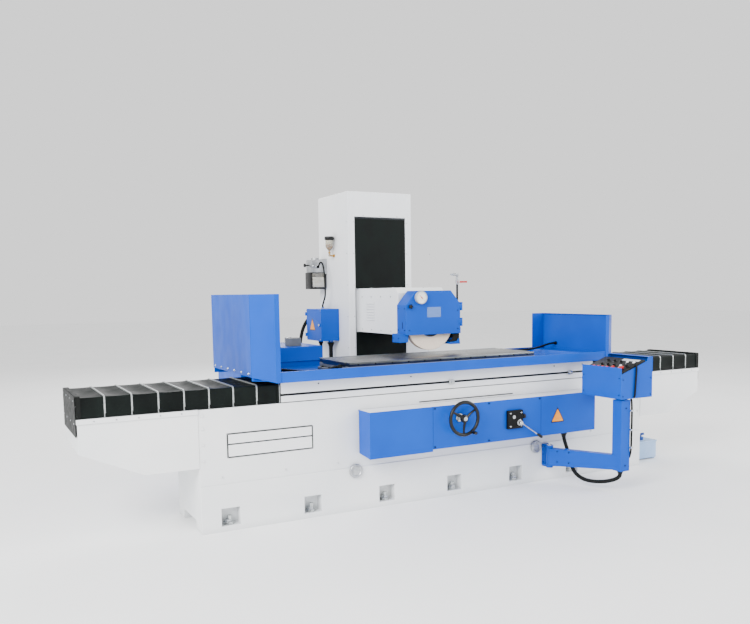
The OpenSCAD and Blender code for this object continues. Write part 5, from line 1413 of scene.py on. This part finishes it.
panelTop = boxHigh.y - boxLow.y
shape = bmesh.new()
panelParts = [(8, 50, 2, panelTop / mm - 2), (78, 248, 2, panelTop / mm - 2),  # leaves the two button holes
              (50, 78, 2, 46), (50, 78, 74, 126), (50, 78, 154, panelTop / mm - 2)]
for x0, x1, y0, y1 in panelParts:
    addBlock(shape, (x0 * mm, y0 * mm, 0.4 * mm), (x1 * mm, y1 * mm, 12.8 * mm), 0.3 * mm, panelPlace)
panel = newPiece("controlPanel", shape, "console", crackle)
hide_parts("control_panel")
bezels, lamps, knobs, switches = bmesh.new(), bmesh.new(), bmesh.new(), bmesh.new()
for i in range(5):
    for j in range(2):
        spot = (110 + 70 * j, 45 + 62 * i)
        if spot[1] * mm > panelTop - 20 * mm:
            continue
        addTurned(bezels, [(0, -0.6 * mm), (16 * mm, -0.6 * mm), (16 * mm, 1 * mm), (14 * mm, 2 * mm),
                           (0, 2 * mm)],
                  onPanel(*spot), 32)
        if (i, j) == (0, 0):
            continue
        if i < 2:  # white and silver switches nearest the operator
            addTurned(switches, [(0, 2 * mm), (10 * mm, 2 * mm), (10 * mm, 7 * mm), (8.5 * mm, 9 * mm),
                                 (0, 9 * mm)],
                      onPanel(*spot), 28)
        else:
            addTurned(knobs, [(0, 2 * mm), (11 * mm, 2 * mm), (10 * mm, 8 * mm), (0, 9 * mm)], onPanel(*spot),
                      28)
            turned = onPanel(*spot) @ Matrix.Rotation(radians(25 * i - 60 * j), 4, "Z")
            addBlock(knobs, (-3.2 * mm, -11 * mm, 7 * mm), (3.2 * mm, 11 * mm, 15 * mm), 1.5 * mm, turned)
for i in range(4):
    y = 200 + 44 * i
    if y * mm < panelTop - 20 * mm:
        addTurned(bezels, [(0, -0.6 * mm), (14 * mm, -0.6 * mm), (14 * mm, 2 * mm), (12 * mm, 3 * mm),
                           (0, 3 * mm)],
                  onPanel(64, y), 28)
        addTurned(lamps, [(0, 3 * mm), (10.5 * mm, 3 * mm), (10.5 * mm, 8 * mm), (9 * mm, 9.5 * mm),
                          (0, 9.8 * mm)],
                  onPanel(64, y), 28)
for x, y, radius in ((64, 60, 23), (64, 140, 21)):
    addTurned(bezels, [(11.6 * mm, -0.6 * mm), (radius * mm, -0.6 * mm), (radius * mm, 0.8 * mm),
                       (11.6 * mm, 0.8 * mm)], onPanel(x, y), 40, closed=True)
newPiece("panelBezels", bezels, "console", oxide)
newPiece("panelLamps", lamps, "console", redPlastic)
newPiece("panelKnobs", knobs, "console", blackPlastic)
newPiece("panelSwitches", switches, "console", whitePlate)
shape = bmesh.new()
addPrism(shape, roundedOutline([(206 * mm, 30 * mm), (236 * mm, 30 * mm), (236 * mm, 190 * mm),
                                (206 * mm, 190 * mm)],
                               3 * mm), 12.6 * mm, 13.6 * mm, panelPlace)
newPiece("panelPlate", shape, "console", silverPlate)
shape = bmesh.new()
for x in (16, 240):
    for y in (10, panelTop / mm / 2, panelTop / mm - 10):
        addTurned(shape, [(0, 0), (4 * mm, 0), (3.4 * mm, 1.6 * mm), (0, 2 * mm)], onPanel(x, y, 12.8), 16)
for y in (boxLow.y + 20 * mm, boxHigh.y - 20 * mm):
    for z in (0.72, 0.84):
        addCapScrew(shape, (boxLow.x, y, z), (-1, 0, 0), 4 * mm)
for x in (boxLow.x + 18 * mm, boxHigh.x - 18 * mm):
    for z in (0.71, 0.83):
        addCapScrew(shape, (x, boxLow.y, z), (0, -1, 0), 4 * mm)
newPiece("consoleScrews", shape, "console", oxide)

shape = bmesh.new()  # mushroom head stop and the flush start button, each on its own stem
base = onPanel(64, 60, 0)
addTurned(shape, [(0, 1 * mm), (10 * mm, 1 * mm), (10 * mm, 18 * mm), (20 * mm, 20 * mm), (22 * mm, 24 * mm),
                  (21 * mm, 29 * mm), (14 * mm, 32.5 * mm), (0, 33.5 * mm)], base, 48)
stopButton = newPiece("stopButton", shape, "stop_button", redPlastic, 40)
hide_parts("e_stop")
shape = bmesh.new()
addTurned(shape, [(0, 1 * mm), (9.5 * mm, 1 * mm), (9.5 * mm, 18 * mm), (13.5 * mm, 19 * mm),
                  (13.5 * mm, 27 * mm),
                  (11 * mm, 29.5 * mm), (0, 28.5 * mm)], onPanel(64, 140, 0), 40)
startButton = newPiece("startButton", shape, "start_button", redPlastic, 40)
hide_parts("cycle_button")
shape = bmesh.new()
addTurned(shape, [(0, 13.6 * mm), (13.8 * mm, 13.6 * mm), (13.8 * mm, 18 * mm), (12 * mm, 26.5 * mm),
                  (0, 27 * mm)],
          onPanel(110, 45, 0), 36)
addBlock(shape, (-3.8 * mm, -13.6 * mm, 25 * mm), (3.8 * mm, 13.6 * mm, 34.6 * mm), 1.5 * mm,
         onPanel(110, 45, 0))
selector = newPiece("selectorKnob", shape, "selector", blackPlastic, 40)
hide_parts("selector_knob")
shape = bmesh.new()
addBlock(shape, (-0.9 * mm, 2 * mm, 34.4 * mm), (0.9 * mm, 12.6 * mm, 35 * mm), 0.2 * mm, onPanel(110, 45, 0))
newPiece("selectorMark", shape, "selector", whitePlate)

postFace = -0.876
shape = bmesh.new()  # cable that drops down the near corner of the box and of the post
addTube(shape, [(1.150, boxLow.y + 6 * mm, 0.930), (1.150, boxLow.y - 7 * mm, 0.918),
                (1.148, boxLow.y - 9 * mm, 0.880),
                (1.142, boxLow.y - 9 * mm, 0.780), (1.138, boxLow.y - 8 * mm, 0.715),
                (1.134, boxLow.y - 2 * mm, 0.696)],
        7 * mm, 14, 6)
newPiece("consoleLead", shape, "console", rubber, 50)
shape = bmesh.new()
addTube(shape, [(1.134, -0.872, 0.684), (1.135, -0.880, 0.660), (1.136, -0.883, 0.560),
                (1.135, -0.883, 0.420),
                (1.134, -0.882, 0.320), (1.130, -0.872, 0.262), (1.120, -0.862, 0.250)], 7 * mm, 14, 6)
newPiece("postLead", shape, "pendant", rubber, 50)
shape = bmesh.new()
for z in (0.60, 0.46, 0.33):
    addBlock(shape, (1.122, -0.893, z - 6 * mm), (1.145, -0.872, z + 6 * mm), 2 * mm)
newPiece("leadClips", shape, "pendant", plated)
shape = bmesh.new()
for z in (0.176, 0.256):
    for offset in (0.07, 0.16):
        point = Vector((0.820 + 0.492 * offset, -0.365 - 0.870 * offset, z))
        addCapScrew(shape, point + Vector((-0.870, -0.492, 0)) * 32 * mm, (-0.870, -0.492, 0), 5 * mm)
for z in (0.20, 0.62):
    addCapScrew(shape, (1.084, postFace, z), (0, -1, 0), 5 * mm)
newPiece("armScrews", shape, "pendant", oxide)
shape = bmesh.new()
for x in (0.822, 0.858):
    for z in (0.150, 0.210, 0.270):
        addHexBolt(shape, (x + (0.006 if x > 0.85 else -0.006), -0.285, z), (0, -1, 0), 6 * mm)
addTurned(shape, [(0, 0), (21 * mm, 0), (21 * mm, 4 * mm), (17 * mm, 7 * mm), (9 * mm, 7 * mm),
                  (8 * mm, 11 * mm), (0, 11 * mm)],
          facing((0.820, -0.365, 0.294), (0, 0, 1)), 36)
newPiece("bracketBolts", shape, "bed", plated)

# cabinet on the column's right side: lock, hinges and screws
shape = bmesh.new()
for z in (0.80, 1.00):
    addDisc(shape, 6 * mm, 46 * mm, facing((0.543, 0.914, z - 23 * mm), (0, 0, 1)), 20)
addTurned(shape, [(0, 0), (11 * mm, 0), (11 * mm, 5 * mm), (9 * mm, 7 * mm), (0, 7 * mm)],
          facing((0.538, 1.185, 0.90), (1, 0, 0)), 28)
for x in (0.365, 0.510):
    for z in (0.73, 1.06):
        addCapScrew(shape, (x, 0.905, z), (0, -1, 0), 4.5 * mm)
newPiece("cabinetFittings", shape, "column", plated)
print("Control box done")

# ---- small tank with its pump, and the hydraulic tank behind
pumpX, pumpY = 1.975, -0.090
face = facing((pumpX, pumpY, 0), (0, 0, 1))
shape = bmesh.new()
addTurned(shape, [(0, 0.162), (33 * mm, 0.162), (34 * mm, 0.163), (34 * mm, 0.171), (29 * mm, 0.173),
                  (28 * mm, 0.176), (28 * mm, 0.230), (30.8 * mm, 0.232), (30.8 * mm, 0.238),
                  (24 * mm, 0.242), (0, 0.242)],
          face, 40)
for k in range(16):
    turned = face @ Matrix.Rotation(2 * pi * k / 16, 4, "Z")
    addBlock(shape, (27 * mm, -1.2 * mm, 0.178), (31 * mm, 1.2 * mm, 0.228), 0.4 * mm, turned)
addBlock(shape, (2.060, -0.110, 0.1615), (2.090, -0.080, 0.190), 2 * mm)
addTube(shape, [(2.075, -0.095, 0.188), (2.075, -0.095, 0.204), (2.075, -0.095, 0.220)], 7 * mm, 18, 4)
addTube(shape, [(2.082, -0.095, 0.212), (2.093, -0.095, 0.212), (2.104, -0.095, 0.212)], 11 * mm, 18, 4)
addTube(shape, [(2.000, -0.095, 0.180), (2.030, -0.095, 0.182), (2.062, -0.095, 0.180)], 6 * mm, 16, 4)
coolantPump = newPiece("coolantPump", shape, "bed", pumpBlue, 40)
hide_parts("coolant_pump")
shape = bmesh.new()
for x, y in ((1.935, -0.155), (2.175, -0.155), (1.935, 0.205), (2.175, 0.205), (2.055, -0.155),
             (2.055, 0.205)):
    addCapScrew(shape, (x, y, 0.162), (0, 0, 1), 4 * mm)
addTurned(shape, [(0, 0.162), (24 * mm, 0.162), (24 * mm, 0.170), (20 * mm, 0.176), (0, 0.176)],
          facing((2.110, 0.120, 0), (0, 0, 1)), 32)
for y in (-0.02, 0.09):
    addTube(shape, [(2.130, y - 0.03, 0.163), (2.130, y - 0.03, 0.180), (2.130, y, 0.184),
                    (2.130, y + 0.03, 0.180),
                    (2.130, y + 0.03, 0.163)], 3 * mm, 10, 4)
newPiece("tankFittings", shape, "bed", plated)

shape = bmesh.new()  # filler, cover plates and sight gauge of the hydraulic tank
addTurned(shape, [(0, 0), (42 * mm, 0), (42 * mm, 6 * mm), (30 * mm, 8 * mm), (30 * mm, 44 * mm),
                  (27 * mm, 50 * mm), (0, 50 * mm)],
          facing((-0.640, 1.300, 1.055), (0, 0, 1)), 40)
addDisc(shape, 36 * mm, 16 * mm, facing((-1.130, 0.900, 1.055), (0, 0, 1)), 36)
for x in (-1.225, -0.900, -0.565):
    for y in (0.805, 1.395):
        addCapScrew(shape, (x, y, 1.055), (0, 0, 1), 6 * mm)
newPiece("hydraulicFittings", shape, "bed", plated)
shape = bmesh.new()
addBlock(shape, (-1.2335, 1.04, 0.55), (-1.2295, 1.08, 0.78), 1.5 * mm)
newPiece("tankGaugeFrame", shape, "bed", aluminium)
shape = bmesh.new()
addBlock(shape, (-1.2360, 1.050, 0.565), (-1.2325, 1.070, 0.765), 1 * mm)
newPiece("tankGaugeGlass", shape, "bed", oil)
shape = bmesh.new()  # cooling fins of the pump motor
for k in range(2, 27):  # none behind the terminal box
    turned = Matrix.Translation((-1.030, 1.130, 0)) @ Matrix.Rotation(2 * pi * k / 28, 4, "Z")
    addBlock(shape, (90 * mm, -1.5 * mm, 1.085), (104 * mm, 1.5 * mm, 1.322), 0.5 * mm, turned)
newPiece("motorFins", shape, "bed", castGrey)
shape = bmesh.new()
for y in (1.09, 1.17):
    for z in (1.16, 1.25):
        addCapScrew(shape, (-0.900, y, z), (1, 0, 0), 4 * mm)
for k in range(4):
    addHexBolt(shape, (-1.030 + 0.112 * cos(pi / 4 + pi * k / 2), 1.130 + 0.112 * sin(pi / 4 + pi * k / 2),
                       1.075),
               (0, 0, 1), 8 * mm)
newPiece("motorBolts", shape, "bed", oxide)
print("Tanks done")


# ---- plain pale floor and soft studio light
studio = {"floor": "#FBFBFB", "sky": "#FFFFFF", "skyStrength": 1.3,
          "key": ((-7.5, -4.5, 5.5), 5.5, 1400), "fill": ((6.5, -5.0, 4.0), 5.0, 450),
          "rim": ((2.0, 7.5, 6.0), 5.0, 500)}


def lightStudio():
    world = bpy.data.worlds.new("studio")
    bpy.context.scene.world = world
    world.use_nodes = True
    world.node_tree.nodes["Background"].inputs["Color"].default_value = hexColour(studio["sky"])
    world.node_tree.nodes["Background"].inputs["Strength"].default_value = studio["skyStrength"]
    for name in ("key", "fill", "rim"):
        place, size, power = studio[name]
        data = bpy.data.lights.new(name, "AREA")
        data.shape = "DISK"
        data.size = size
        data.energy = power
        lamp = bpy.data.objects.new(name, data)
        aim = Vector((0, 0.2, 0.9)) - Vector(place)
        lamp.matrix_world = Matrix.Translation(place) @ aim.to_track_quat("-Z", "Y").to_matrix().to_4x4()
        bpy.context.scene.collection.objects.link(lamp)


def layFloor():
    finish, tree, shader = newFinish("paleStudioFloor", {"Metallic": 0.0, "IOR": 1.45})
    mottle = pattern(tree, 900, 3)
    tree.links.new(mixColours(tree, spread(tree, mottle.outputs[0], 0, 1), studio["floor"], "#F7F8F8"),
                   shader.inputs["Base Color"])
    tree.links.new(spread(tree, mottle.outputs[0], 0.6, 0.7), shader.inputs["Roughness"])
    shape = bmesh.new()
    bmesh.ops.create_grid(shape, x_segments=8, y_segments=8, size=40)
    mesh = bpy.data.meshes.new("floor")
    shape.to_mesh(mesh)
    shape.free()
    mesh.materials.append(finish)
    floor = bpy.data.objects.new("floor", mesh)
    bpy.context.scene.collection.objects.link(floor)


lightStudio()
layFloor()
print("Studio lit")
